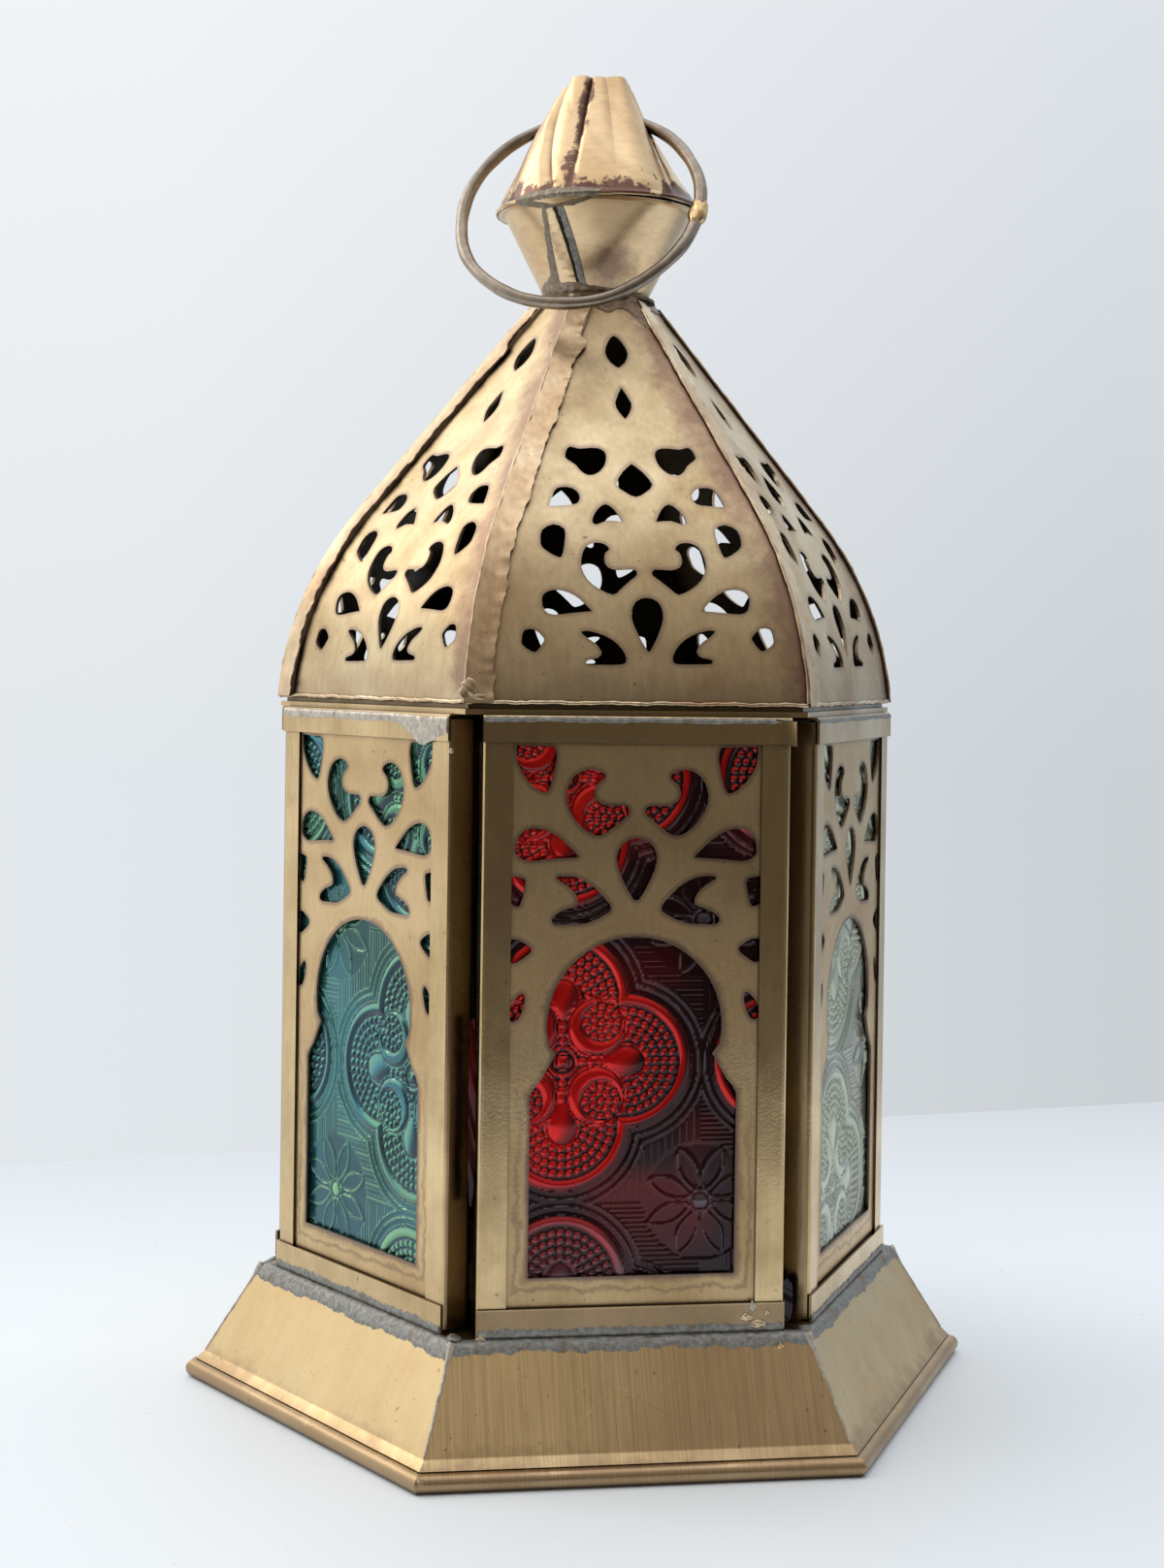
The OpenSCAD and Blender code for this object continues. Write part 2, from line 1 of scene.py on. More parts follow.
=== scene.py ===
# %% [markdown]
# # A brass lantern with pressed-glass panes
#
# The metal skeleton of this lantern comes from CAD: folded brass channels, pierced plates, a
# cone of six roof sheets, a cup and crown on top and a wire ring. In Blender the skeleton gets
# what a maker's hands and many years leave on it: solder runs, seams, dents, tarnish and, in
# every window, a pane of pressed ornamental glass.
#
# All lengths below are written in millimetres and turned to metres by `MM`.

# %% Load the frame
import math

import bpy
import numpy as np
from mathutils import Matrix, Vector


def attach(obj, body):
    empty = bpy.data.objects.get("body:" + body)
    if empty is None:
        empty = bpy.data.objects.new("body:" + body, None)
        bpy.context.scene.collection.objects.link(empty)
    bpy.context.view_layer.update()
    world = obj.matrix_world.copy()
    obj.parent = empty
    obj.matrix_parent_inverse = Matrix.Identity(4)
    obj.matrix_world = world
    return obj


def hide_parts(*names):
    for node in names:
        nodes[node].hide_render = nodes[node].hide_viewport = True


MM = 0.001
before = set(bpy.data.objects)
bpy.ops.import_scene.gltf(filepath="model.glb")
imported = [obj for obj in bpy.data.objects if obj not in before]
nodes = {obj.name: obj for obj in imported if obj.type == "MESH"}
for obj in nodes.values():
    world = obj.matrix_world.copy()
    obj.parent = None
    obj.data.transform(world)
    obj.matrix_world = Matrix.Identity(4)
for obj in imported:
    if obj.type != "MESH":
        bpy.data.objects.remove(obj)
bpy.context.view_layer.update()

# %% [markdown]
# ## The camera
#
# The photograph was taken from a little to the left of the front panel, at about half the
# lantern's height, with a longish lens. The place, the turn and the lens were solved from the
# corners of the base, the panels and the eave, and are written here as plain numbers.

# %% Camera
PHOTO_LONG_SIDE = 1617
FOCAL_PIXELS = 2303
SENSOR_WIDTH = 36
CAMERA_PLACE = Vector((-60.64, -374.83, 119.97)) * MM
CAMERA_TURN = math.radians(8.33)
CAMERA_DIP = math.radians(0.38)
CAMERA_ROLL = math.radians(0.78)
# The frame's shift to the right and up, as a share of its long side
CAMERA_SHIFT = (0.0157, -0.0706)
NEAREST_SEEN = 10 * MM


def make_camera():
    """Adds the camera and looks along the solved direction."""
    data = bpy.data.cameras.new("camera")
    data.sensor_width = SENSOR_WIDTH
    data.lens = FOCAL_PIXELS * SENSOR_WIDTH / PHOTO_LONG_SIDE
    data.shift_x, data.shift_y = CAMERA_SHIFT
    data.clip_start = NEAREST_SEEN
    forward = Vector((
        math.sin(CAMERA_TURN) * math.cos(CAMERA_DIP),
        math.cos(CAMERA_TURN) * math.cos(CAMERA_DIP),
        -math.sin(CAMERA_DIP),
    ))
    level = Vector((math.cos(CAMERA_TURN), -math.sin(CAMERA_TURN), 0))
    upright = level.cross(forward)
    right = level * math.cos(CAMERA_ROLL) + upright * math.sin(CAMERA_ROLL)
    up = right.cross(forward)
    camera = bpy.data.objects.new("camera", data)
    bpy.context.scene.collection.objects.link(camera)
    axes = Matrix((right, up, -forward)).transposed().to_4x4()
    camera.matrix_world = Matrix.Translation(CAMERA_PLACE) @ axes
    bpy.context.scene.camera = camera
    return camera


camera = make_camera()
print("Lens in mm:", round(camera.data.lens, 2))

# %% [markdown]
# ## Small tools
#
# A colour is easiest to pick as the hex value a screen shows, but light adds up in linear
# numbers, so one function turns the one into the other. Another adds a node to a material
# with its settings and its links in one call. The others wrap operators. An operator works on
# everything that is selected, so each of them first makes its piece the whole selection.

# %% Helpers
def linear(code):
    """A colour as the screen shows it, such as #d9bd82, as linear red, green, blue and alpha."""
    channels = [int(code[i:i + 2], 16) / 255 for i in (1, 3, 5)]
    return [c / 12.92 if c <= 0.04045 else ((c + 0.055) / 1.055) ** 2.4 for c in channels] + [1.0]


def add_node(tree, kind, links=None, **settings):
    """Adds a node. In links, a socket or another node's first output is joined to the named input,
    and a plain value is set on it."""
    node = tree.nodes.new("ShaderNode" + kind)
    for name, value in settings.items():
        setattr(node, name, value)
    for name, value in (links or {}).items():
        if isinstance(value, bpy.types.Node):
            value = value.outputs[0]
        if isinstance(value, bpy.types.NodeSocket):
            tree.links.new(value, node.inputs[name])
        else:
            node.inputs[name].default_value = value
    return node


def new_material(name):
    """An empty material and its tree of nodes."""
    material = bpy.data.materials.new(name)
    material.use_nodes = True
    material.node_tree.nodes.clear()
    return material, material.node_tree


def only(piece):
    """Makes one piece the whole selection."""
    bpy.ops.object.select_all(action="DESELECT")
    piece.select_set(True)
    bpy.context.view_layer.objects.active = piece


def settle(piece):
    """Moves a piece's place and turn into its mesh, so that its object sits at the origin."""
    only(piece)
    bpy.ops.object.transform_apply(location=True, rotation=True, scale=True)


def apply_modifier(piece, modifier):
    """Makes what a modifier shows the piece's real mesh."""
    only(piece)
    bpy.ops.object.modifier_apply(modifier=modifier.name)


def merge_doubles(piece, distance):
    """Joins the points of a piece that lie within a distance in mm."""
    only(piece)
    bpy.ops.object.mode_set(mode="EDIT")
    bpy.ops.mesh.select_all(action="SELECT")
    bpy.ops.mesh.remove_doubles(threshold=distance * MM)
    bpy.ops.object.mode_set(mode="OBJECT")


def triangles(piece):
    """How many triangles the faces of a piece come to."""
    return sum(len(face.vertices) - 2 for face in piece.data.polygons)


print("The grey #808080 in linear light:", round(linear("#808080")[0], 3))

# %% [markdown]
# ## The room
#
# The lantern stands in a white room with a window on the left. What a polished metal looks like
# is what it mirrors, so the room matters more than the lamps: bright on the left, bluish and
# dimmer on the right, bright overhead, and dark behind the camera, where the viewer stands. The
# front of the lantern mirrors that dark side and, low down, the white table up to its near edge.
# This is why its lower third shines and the rest is olive brown. The room is a ring of colours
# round the horizon at two heights. The camera itself sees a plain pale wall in every direction.

# %% World
ROOM_STRENGTH = 1.3
# The room's colour at eye level, by share of a full turn from behind the camera by the left
ROOM_LEVEL = [
    (0.00, "#453f37"), (0.09, "#4e473e"), (0.17, "#a39c92"), (0.24, "#d9d7d3"), (0.34, "#dcdfe1"),
    (0.47, "#d5dbe1"), (0.56, "#bcc6d0"), (0.64, "#929ca9"), (0.78, "#7f8891"), (0.88, "#5c5852"),
    (1.00, "#453f37"),
]
# The same at a height of about 45 degrees
ROOM_HIGH = [
    (0.00, "#988f84"), (0.12, "#aaa298"), (0.22, "#f0eeea"), (0.38, "#f4f5f6"), (0.56, "#d2d8de"),
    (0.66, "#ccd2d8"), (0.86, "#a09c98"), (1.00, "#988f84"),
]
ROOM_OVERHEAD = "#f9fafd"
OVERHEAD_GAIN = 1.12
# The pale wall that the camera sees, low and high
WALL_LOW = [
    (0.00, "#dde2e6"), (0.44, "#e6ebef"), (0.495, "#e2e7eb"), (0.563, "#cbd0d4"), (0.70, "#d6dbdf"),
    (1.00, "#dde2e6"),
]
WALL_HIGH = [
    (0.00, "#eceff2"), (0.44, "#f6f7f9"), (0.495, "#f3f5f8"), (0.563, "#dfe4ea"), (0.70, "#e4e8ec"),
    (1.00, "#eceff2"),
]
# Each pair is where one colour starts to give way to the next, as the sine of the height
EYE_LEVEL_TO_HIGH = (0.07, 0.46)
HIGH_TO_OVERHEAD = (0.74, 0.93)
WALL_LOW_TO_HIGH = (-0.05, 0.32)


def colour_ring(tree, share, stops):
    """A ramp of colours that runs once round the room."""
    ramp = add_node(tree, "ValToRGB", {0: share})
    spots = ramp.color_ramp.elements
    while len(spots) < len(stops):
        spots.new(0.5)
    for spot, (where, colour) in zip(spots, stops):
        spot.position = where
        spot.color = linear(colour)
    return ramp


def make_world():
    """A room that lights the lantern and is mirrored in it, and a plain wall for the camera."""
    world = bpy.data.worlds.new("white room by daylight")
    bpy.context.scene.world = world
    world.use_nodes = True
    tree = world.node_tree
    tree.nodes.clear()
    place = add_node(tree, "TexCoord")
    parts = add_node(tree, "SeparateXYZ", {0: place.outputs["Generated"]})
    # The angle is 0 behind the camera and grows by way of the left
    flipped = add_node(tree, "Math", {0: parts, 1: -1.0}, operation="MULTIPLY")
    back = add_node(tree, "Math", {0: parts.outputs[1], 1: -1.0}, operation="MULTIPLY")
    angle = add_node(tree, "Math", {0: flipped, 1: back}, operation="ARCTAN2")
    turned = add_node(tree, "Math", {0: angle, 1: 2 * math.pi}, operation="DIVIDE")
    share = add_node(tree, "Math", {0: turned, 1: 1.0}, operation="FLOORED_MODULO")
    up = parts.outputs[2]
    raised = add_node(tree, "MapRange", {0: up, 1: EYE_LEVEL_TO_HIGH[0], 2: EYE_LEVEL_TO_HIGH[1]})
    walls = add_node(tree, "MixRGB", {0: raised, 1: colour_ring(tree, share, ROOM_LEVEL),
                                      2: colour_ring(tree, share, ROOM_HIGH)})
    overhead = add_node(tree, "MapRange", {0: up, 1: HIGH_TO_OVERHEAD[0], 2: HIGH_TO_OVERHEAD[1]})
    bright = [OVERHEAD_GAIN * channel for channel in linear(ROOM_OVERHEAD)]
    room = add_node(tree, "MixRGB", {0: overhead, 1: walls, 2: bright})
    room_light = add_node(tree, "Background", {0: room, 1: ROOM_STRENGTH})
    height = add_node(tree, "MapRange", {0: up, 1: WALL_LOW_TO_HIGH[0], 2: WALL_LOW_TO_HIGH[1]})
    wall = add_node(tree, "MixRGB", {0: height, 1: colour_ring(tree, share, WALL_LOW),
                                     2: colour_ring(tree, share, WALL_HIGH)})
    wall_light = add_node(tree, "Background", {0: wall, 1: 1.0})
    rays = add_node(tree, "LightPath")
    seen = add_node(tree, "MixShader", {0: rays.outputs["Is Camera Ray"], 1: room_light, 2: wall_light})
    add_node(tree, "OutputWorld", {0: seen})
    return world


make_world()
print("World:", bpy.context.scene.world.name)

# %% [markdown]
# ### The table
#
# The lantern stands near the far edge of a white lacquered board. The board is one bevelled box
# whose far edge lies where the photograph shows it. Its colours are worked out on millimetres,
# as in every material here, so a noise of scale 0.5 has clouds of about 2 mm.

# %% Table
TABLE_EDGE_LEFT = Vector((-113.6, 160.5, 0)) * MM
TABLE_EDGE_RIGHT = Vector((194.6, 211.4, 0)) * MM
TABLE_WIDTH = 1600 * MM
TABLE_DEPTH = 428 * MM
TABLE_THICKNESS = 30 * MM
TABLE_ROUNDING = 2 * MM
# Behind the lantern less daylight reaches the board: from and to in mm, and what is left there
TABLE_SHADE = (20.0, 200.0, 0.74)


def white_lacquer():
    """White lacquered board: an even satin white with faint wiping marks and a few crumbs."""
    material, tree = new_material("white lacquered board")
    place = add_node(tree, "TexCoord").outputs["Object"]
    whole = add_node(tree, "VectorMath", {0: place, "Scale": 1 / MM}, operation="SCALE")
    soft = add_node(tree, "TexNoise", {"Vector": whole, "Scale": 0.012, "Detail": 3.0})
    tone = add_node(tree, "MixRGB", {0: soft, 1: linear("#eff7ff"), 2: linear("#f5fbff")})
    grit = add_node(tree, "TexNoise", {"Vector": whole, "Scale": 0.55, "Detail": 1.0})
    crumb = add_node(tree, "MapRange", {0: grit, 1: 0.775, 2: 0.80, 4: 0.35})
    spotted = add_node(tree, "MixRGB", {0: crumb, 1: tone, 2: linear("#b9bdc2")})
    parts = add_node(tree, "SeparateXYZ", {0: whole})
    start, end, left_over = TABLE_SHADE
    far = add_node(tree, "MapRange", {0: parts.outputs[1], 1: start, 2: end, 3: 1.0, 4: left_over})
    shaded = add_node(tree, "VectorMath", {0: spotted, "Scale": far}, operation="SCALE")
    gloss = add_node(tree, "MapRange", {0: soft, 1: 0.3, 2: 0.7, 3: 0.5, 4: 0.62})
    shader = add_node(tree, "BsdfPrincipled", {
        "Base Color": shaded, "Roughness": gloss, "IOR": 1.32,
    })
    add_node(tree, "OutputMaterial", {0: shader})
    return material


def make_table():
    """A white table top whose far edge lies where the photograph shows it."""
    edge = TABLE_EDGE_RIGHT - TABLE_EDGE_LEFT
    turn = math.atan2(edge.y, edge.x)
    middle = (TABLE_EDGE_LEFT + TABLE_EDGE_RIGHT) / 2
    towards_us = Vector((math.sin(turn), -math.cos(turn), 0))
    bpy.ops.object.select_all(action="DESELECT")
    bpy.ops.mesh.primitive_cube_add(size=1)
    table = bpy.context.object
    table.name = "table"
    table.scale = (TABLE_WIDTH, TABLE_DEPTH, TABLE_THICKNESS)
    table.rotation_euler.z = turn
    table.location = middle + towards_us * (TABLE_DEPTH / 2) - Vector((0, 0, TABLE_THICKNESS / 2))
    settle(table)
    bevel = table.modifiers.new("rounded edge", "BEVEL")
    bevel.width = TABLE_ROUNDING
    bevel.segments = 3
    apply_modifier(table, bevel)
    table.data.materials.append(white_lacquer())
    return table


table = make_table()
print("Stage piece:", table.name)

# %% [markdown]
# ### The window
#
# The room's colours give a soft light from everywhere. One large lamp high on the left adds the
# direction, and gives the edges their highlights.

# %% Window light
WINDOW_SIZE = (900 * MM, 700 * MM)
WINDOW_PLACE = Vector((-900, 350, 900)) * MM
WINDOW_AIM = Vector((0, 0, 100)) * MM
WINDOW_WATTS = 3.5


def make_window_light():
    """A large soft light high on the left."""
    data = bpy.data.lights.new("window light", "AREA")
    data.shape = "RECTANGLE"
    data.size, data.size_y = WINDOW_SIZE
    data.energy = WINDOW_WATTS
    data.color = linear("#fff8ee")[:3]
    lamp = bpy.data.objects.new("window light", data)
    bpy.context.scene.collection.objects.link(lamp)
    lamp.location = WINDOW_PLACE
    lamp.rotation_euler = (WINDOW_AIM - lamp.location).to_track_quat("-Z", "Y").to_euler()
    return lamp


window_light = make_window_light()
bpy.context.scene.view_settings.view_transform = "Standard"
print("Lamp:", window_light.name)

# %% [markdown]
# ## Where am I on the lantern?
#
# Six panels look alike, so their finish is drawn once, in a panel's own terms: how far across
# from its middle, how far out from the lantern's axis and how high up. This group of nodes
# works that out for any point by finding which sixth of the circle the point is in and turning
# it to the front. The answers are in millimetres.

# %% Panel coordinates
# The angle that one side of the hexagon takes up, seen from the lantern's axis
SIXTH = math.pi / 3


def make_panel_place():
    """Where a point is on its own panel, and how far its face looks outward."""
    group = bpy.data.node_groups.new("panel place", "ShaderNodeTree")
    place = add_node(group, "TexCoord").outputs["Object"]
    whole = add_node(group, "VectorMath", {0: place, "Scale": 1 / MM}, operation="SCALE").outputs[0]
    parts = add_node(group, "SeparateXYZ", {0: whole})
    angle = add_node(group, "Math", {0: parts.outputs[1], 1: parts}, operation="ARCTAN2")
    side = add_node(group, "Math", {0: angle, 1: 1 / SIXTH, 2: 1.5}, operation="MULTIPLY_ADD")
    number = add_node(group, "Math", {0: side}, operation="ROUND")
    turn = add_node(group, "Math", {0: number, 1: -SIXTH}, operation="MULTIPLY")
    facing = add_node(group, "VectorRotate", {"Vector": whole, "Angle": turn}, rotation_type="Z_AXIS")
    local = add_node(group, "SeparateXYZ", {0: facing})
    out = add_node(group, "Math", {0: local.outputs[1], 1: -1.0}, operation="MULTIPLY")
    # How far a face looks out of its own panel, and away from the lantern's axis
    surface = add_node(group, "NewGeometry")
    normal = add_node(group, "VectorTransform", {0: surface.outputs["True Normal"]}, vector_type="NORMAL",
                      convert_from="WORLD", convert_to="OBJECT")
    ahead = add_node(group, "CombineXYZ", {1: -1.0})
    back = add_node(group, "Math", {0: number, 1: SIXTH}, operation="MULTIPLY")
    ahead = add_node(group, "VectorRotate", {"Vector": ahead, "Angle": back}, rotation_type="Z_AXIS")
    looks = add_node(group, "VectorMath", {0: normal, 1: ahead}, operation="DOT_PRODUCT")
    level = add_node(group, "VectorMath", {0: whole, 1: (1.0, 1.0, 0.0)}, operation="MULTIPLY")
    level = add_node(group, "VectorMath", {0: level}, operation="NORMALIZE")
    outward = add_node(group, "VectorMath", {0: normal, 1: level}, operation="DOT_PRODUCT")
    answers = {
        "Across": ("Float", local.outputs[0]), "Out": ("Float", out.outputs[0]),
        "Up": ("Float", local.outputs[2]), "Place": ("Vector", facing.outputs[0]),
        "Whole": ("Vector", whole), "Side": ("Float", number.outputs[0]),
        "Facing": ("Float", looks.outputs["Value"]), "Outward": ("Float", outward.outputs["Value"]),
    }
    for name, (kind, socket) in answers.items():
        group.interface.new_socket(name, in_out="OUTPUT", socket_type="NodeSocket" + kind)
    result = group.nodes.new("NodeGroupOutput")
    for name, (kind, socket) in answers.items():
        group.links.new(socket, result.inputs[name])
    return group


panel_place = make_panel_place()
print("Node group:", panel_place.name)

# %% [markdown]
# ## Tarnished brass
#
# Brass sheet leaves the mill bright, is brushed in one direction, and then dulls: a thin brown
# film all over, purple-brown stains where flux and water sat, and darker lines in every crease,
# partly grime and partly painted shade.
# The material is a full metal and serves every piece, with its own colours and its own brush
# direction. It is put together in steps, and the first is the sheet itself: cloudy noise mixes
# a clean and a dull brass, and fine stretched noise makes the brush marks lighter and darker.

# %% Brass, the brushed sheet
def by_side(tree, place, front, others):
    """One value on the front panel and another on the other five."""
    from_front = add_node(tree, "Math", {0: place.outputs["Side"]}, operation="ABSOLUTE")
    return add_node(tree, "MapRange", {0: from_front, 1: 0.0, 2: 1.0, 3: front, 4: others})


def brushed_sheet(tree, place, clouds, strokes, clean, dull, brush_depth, front_only):
    """Clean and dull brass in clouds, with brush marks."""
    cloudy = add_node(tree, "MapRange", {0: clouds, 1: 0.36, 2: 0.66})
    sheet = add_node(tree, "MixRGB", {0: cloudy, 1: linear(clean), 2: linear(dull)})
    stroke = add_node(tree, "MapRange", {0: strokes, 1: 0.3, 2: 0.7,
                                         3: 1 - brush_depth, 4: 1 + brush_depth})
    here = by_side(tree, place, 1.0, front_only)
    plain = add_node(tree, "Mix", {0: here, 2: 1.0, 3: stroke})
    return add_node(tree, "VectorMath", {0: sheet, "Scale": plain}, operation="SCALE")


print("Clean brass, red in linear light:", round(linear("#dfc596")[0], 2))

# %% [markdown]
# ### Stains and pits
#
# Blots of a few millimetres are where the film has broken down. A piece may add a stained area
# of its own, drawn where it lies on the real lantern. Brown specks under a millimetre wide are
# pits. The stain covers the brush marks, because it is a layer on top of the metal.

# %% Brass, stains and pits
PIT_BROWN = "#4b3a2c"


def stained_sheet(tree, place, colour, stain, stain_share, mask):
    """Blots, the piece's own stained area and small brown pits over a colour."""
    whole = place.outputs["Whole"]
    blots = add_node(tree, "TexNoise", {"Vector": whole, "Scale": 0.16, "Detail": 6.0, "Roughness": 0.7})
    blot = add_node(tree, "MapRange", {0: blots, 1: 0.62 - 0.2 * stain_share, 2: 0.8, 4: stain_share})
    share = blot
    if mask:
        own_area = mask(tree, place, blots)
        share = add_node(tree, "Math", {0: share, 1: own_area}, operation="MAXIMUM")
    stained = add_node(tree, "MixRGB", {0: share, 1: colour, 2: linear(stain)})
    specks = add_node(tree, "TexNoise", {"Vector": whole, "Scale": 1.1, "Detail": 3.0})
    speck = add_node(tree, "MapRange", {0: specks, 1: 0.69, 2: 0.76, 4: 0.6})
    return add_node(tree, "MixRGB", {0: speck, 1: stained, 2: linear(PIT_BROWN)})


print("Blots are about", round(1 / 0.16), "mm wide")

# %% [markdown]
# ### Creases, grooves and the inside, with painted shade
#
# Dirt stays where a cloth can't reach, and so does shade. Ambient occlusion finds such places:
# over a millimetre it darkens creases with brown, grime and painted shade, and over eight it
# blackens the deep grooves with painted shade. Round each punched hole the polish has left a
# brown line. The Bevel node finds it, because the normal of a rounded edge leaves the true one
# there. Faces that turn away from their panel's front, such as the side webs of the folded
# channels, are darkened as painted shade, and the side that faces the candle is darkened nearly
# black, soot and painted shade of the inside.

# %% Brass, creases, grooves and inside, with painted shade
CREASE_REACH = 1.4 * MM
GROOVE_REACH = 8 * MM
HOLE_LINE = 1.2 * MM
# Colours of painted shade, apart from the brown round holes: creases with grime, deep grooves, side faces,
# and the inside with soot
CREASE_SHADE_BROWN = "#4b3a2c"
GROOVE_SHADE_BLACK = "#1c1510"
HOLE_BROWN = "#75605f"
SIDE_SHADE_BROWN = "#55432c"
INSIDE_SHADE_BLACK = "#241c15"


def worn_sheet(tree, place, colour, groove_shade, outline, folds, inside_shade, front_shade_factor):
    """Lays painted shade over a colour: with grime in creases, in grooves, on faces turned from their
    panel's front, and with soot inside; and a brown line round holes.
    """
    # Painted shade and grime: creases darkened by ambient occlusion
    hollow = add_node(tree, "AmbientOcclusion", {"Distance": CREASE_REACH}, samples=6)
    crease_shade = add_node(tree, "MapRange", {0: hollow.outputs["AO"], 1: 0.35, 2: 0.85, 3: 0.85, 4: 0.0})
    layers = [(crease_shade, CREASE_SHADE_BROWN)]
    if groove_shade:
        # Painted shade: the deep grooves blackened by ambient occlusion
        depth = add_node(tree, "AmbientOcclusion", {"Distance": GROOVE_REACH}, samples=6)
        groove_shaded = add_node(tree, "MapRange", {0: depth.outputs["AO"], 1: 0.12, 2: 0.55, 3: groove_shade, 4: 0.0})
        layers.append((groove_shaded, GROOVE_SHADE_BLACK))
    if outline:
        rounded = add_node(tree, "Bevel", {"Radius": HOLE_LINE}, samples=6)
        true = add_node(tree, "NewGeometry").outputs["True Normal"]
        agree = add_node(tree, "VectorMath", {0: rounded, 1: true}, operation="DOT_PRODUCT")
        near_hole = add_node(tree, "MapRange", {0: agree.outputs["Value"], 1: 0.90, 2: 0.999,
                                                3: outline, 4: 0.0})
        layers.append((near_hole, HOLE_BROWN))
    # Painted shade: faces that turn away from their panel's front, such as the channels' side webs
    if folds:
        folded = add_node(tree, "MapRange", {0: place.outputs["Facing"], 1: 0.35, 2: 0.75,
                                             3: folds, 4: 0.0})
        layers.append((folded, SIDE_SHADE_BROWN))
    # Soot and painted shade: the side that faces the lantern's axis darkened nearly black
    inside = add_node(tree, "MapRange", {0: place.outputs["Outward"], 1: -0.55, 2: -0.25,
                                         3: inside_shade, 4: 0.0})
    layers.append((inside, INSIDE_SHADE_BLACK))
    for share, tint in layers:
        colour = add_node(tree, "MixRGB", {0: share, 1: colour, 2: linear(tint)})
    # Painted shade: the front side keeps only this share of its colour
    kept = by_side(tree, place, front_shade_factor, 1.0)
    return add_node(tree, "VectorMath", {0: colour, "Scale": kept}, operation="SCALE")


print("Crease reach in mm:", CREASE_REACH / MM, "groove reach:", GROOVE_REACH / MM)

# %% [markdown]
# ### The whole recipe
#
# The three steps give the colour. Three bumps, one over the other, give the surface: dents as
# wide as a thumb, the brush marks' scores, and the fine sand of a cast or rolled skin. The
# roughness follows the clouds, because dull brass is also less smooth.

# %% Brass recipe
def brass(name, clean, dull, stain, brush, stain_share, roughness, brush_depth, mask=None, groove_shade=0.0,
          front_only=1.0, inside_shade=0.9, folds=0.0, dents=0.5, outline=0.0, sand=0.10, front_shade_factor=1.0):
    """Tarnished brass sheet. brush is the size in mm of a brush mark across, out and up. mask adds
    a stained area of the piece's own: it takes the tree, the place group and the blots and returns
    a node. soot is how dark the painted shade in the deep grooves is, front_only the share of the
    brushing left on the other sides, smoke how dark the soot and painted shade are on the side that
    faces the candle, folds how dark the painted shade is on faces that do not face out of their
    panel, and dents how uneven the sheet is. outline is how dark the edges of holes are, sand how
    rough the skin is, and front_shade_factor how much of its colour the front keeps under painted shade."""
    material, tree = new_material(name)
    place = add_node(tree, "Group", node_tree=panel_place)
    whole = place.outputs["Whole"]
    clouds = add_node(tree, "TexNoise", {"Vector": whole, "Scale": 0.055, "Detail": 4.0, "Roughness": 0.6})
    stretched = add_node(tree, "VectorMath", {0: place.outputs["Place"], 1: [1 / size for size in brush]},
                         operation="MULTIPLY")
    strokes = add_node(tree, "TexNoise", {"Vector": stretched, "Scale": 1.0, "Detail": 3.0})
    colour = brushed_sheet(tree, place, clouds, strokes, clean, dull, brush_depth, front_only)
    colour = stained_sheet(tree, place, colour, stain, stain_share, mask)
    colour = worn_sheet(tree, place, colour, groove_shade, outline, folds, inside_shade, front_shade_factor)

    gloss = add_node(tree, "MapRange", {0: clouds, 1: 0.3, 2: 0.7, 3: roughness - 0.07, 4: roughness + 0.1})
    dented = add_node(tree, "TexNoise", {"Vector": whole, "Scale": 0.045, "Detail": 1.5})
    waves = add_node(tree, "Bump", {"Height": dented, "Strength": dents, "Distance": 0.8 * MM})
    scored = add_node(tree, "Bump", {"Height": strokes, "Strength": 0.12, "Distance": 0.12 * MM,
                                     "Normal": waves})
    grain = add_node(tree, "TexNoise", {"Vector": whole, "Scale": 2.2, "Detail": 2.0})
    sandy = add_node(tree, "Bump", {"Height": grain, "Strength": sand, "Distance": 0.10 * MM,
                                    "Normal": scored})
    shader = add_node(tree, "BsdfPrincipled", {
        "Base Color": colour, "Metallic": 1.0, "Roughness": gloss, "Normal": sandy,
    })
    add_node(tree, "OutputMaterial", {0: shader})
    return material


print("Dents are about", round(1 / 0.045), "mm wide")

# %% [markdown]
# ### Tide marks on the pierced plates
#
# Flux and polish have crept along the edge of each window and dried there. The mark is a thin
# wavy band a couple of millimetres from the edge. Its distance from the window is worked out
# with the window's own shape: a circle for the arch, a box for the part below it.

# %% Tide mark
ARCH_RADIUS = 13.3
ARCH_MIDDLE = 65.1
WINDOW_HALF = 15.7
WINDOW_FOOT = 27.5
SHOULDER_UP = 54.7
TIDE_AWAY = 2.0


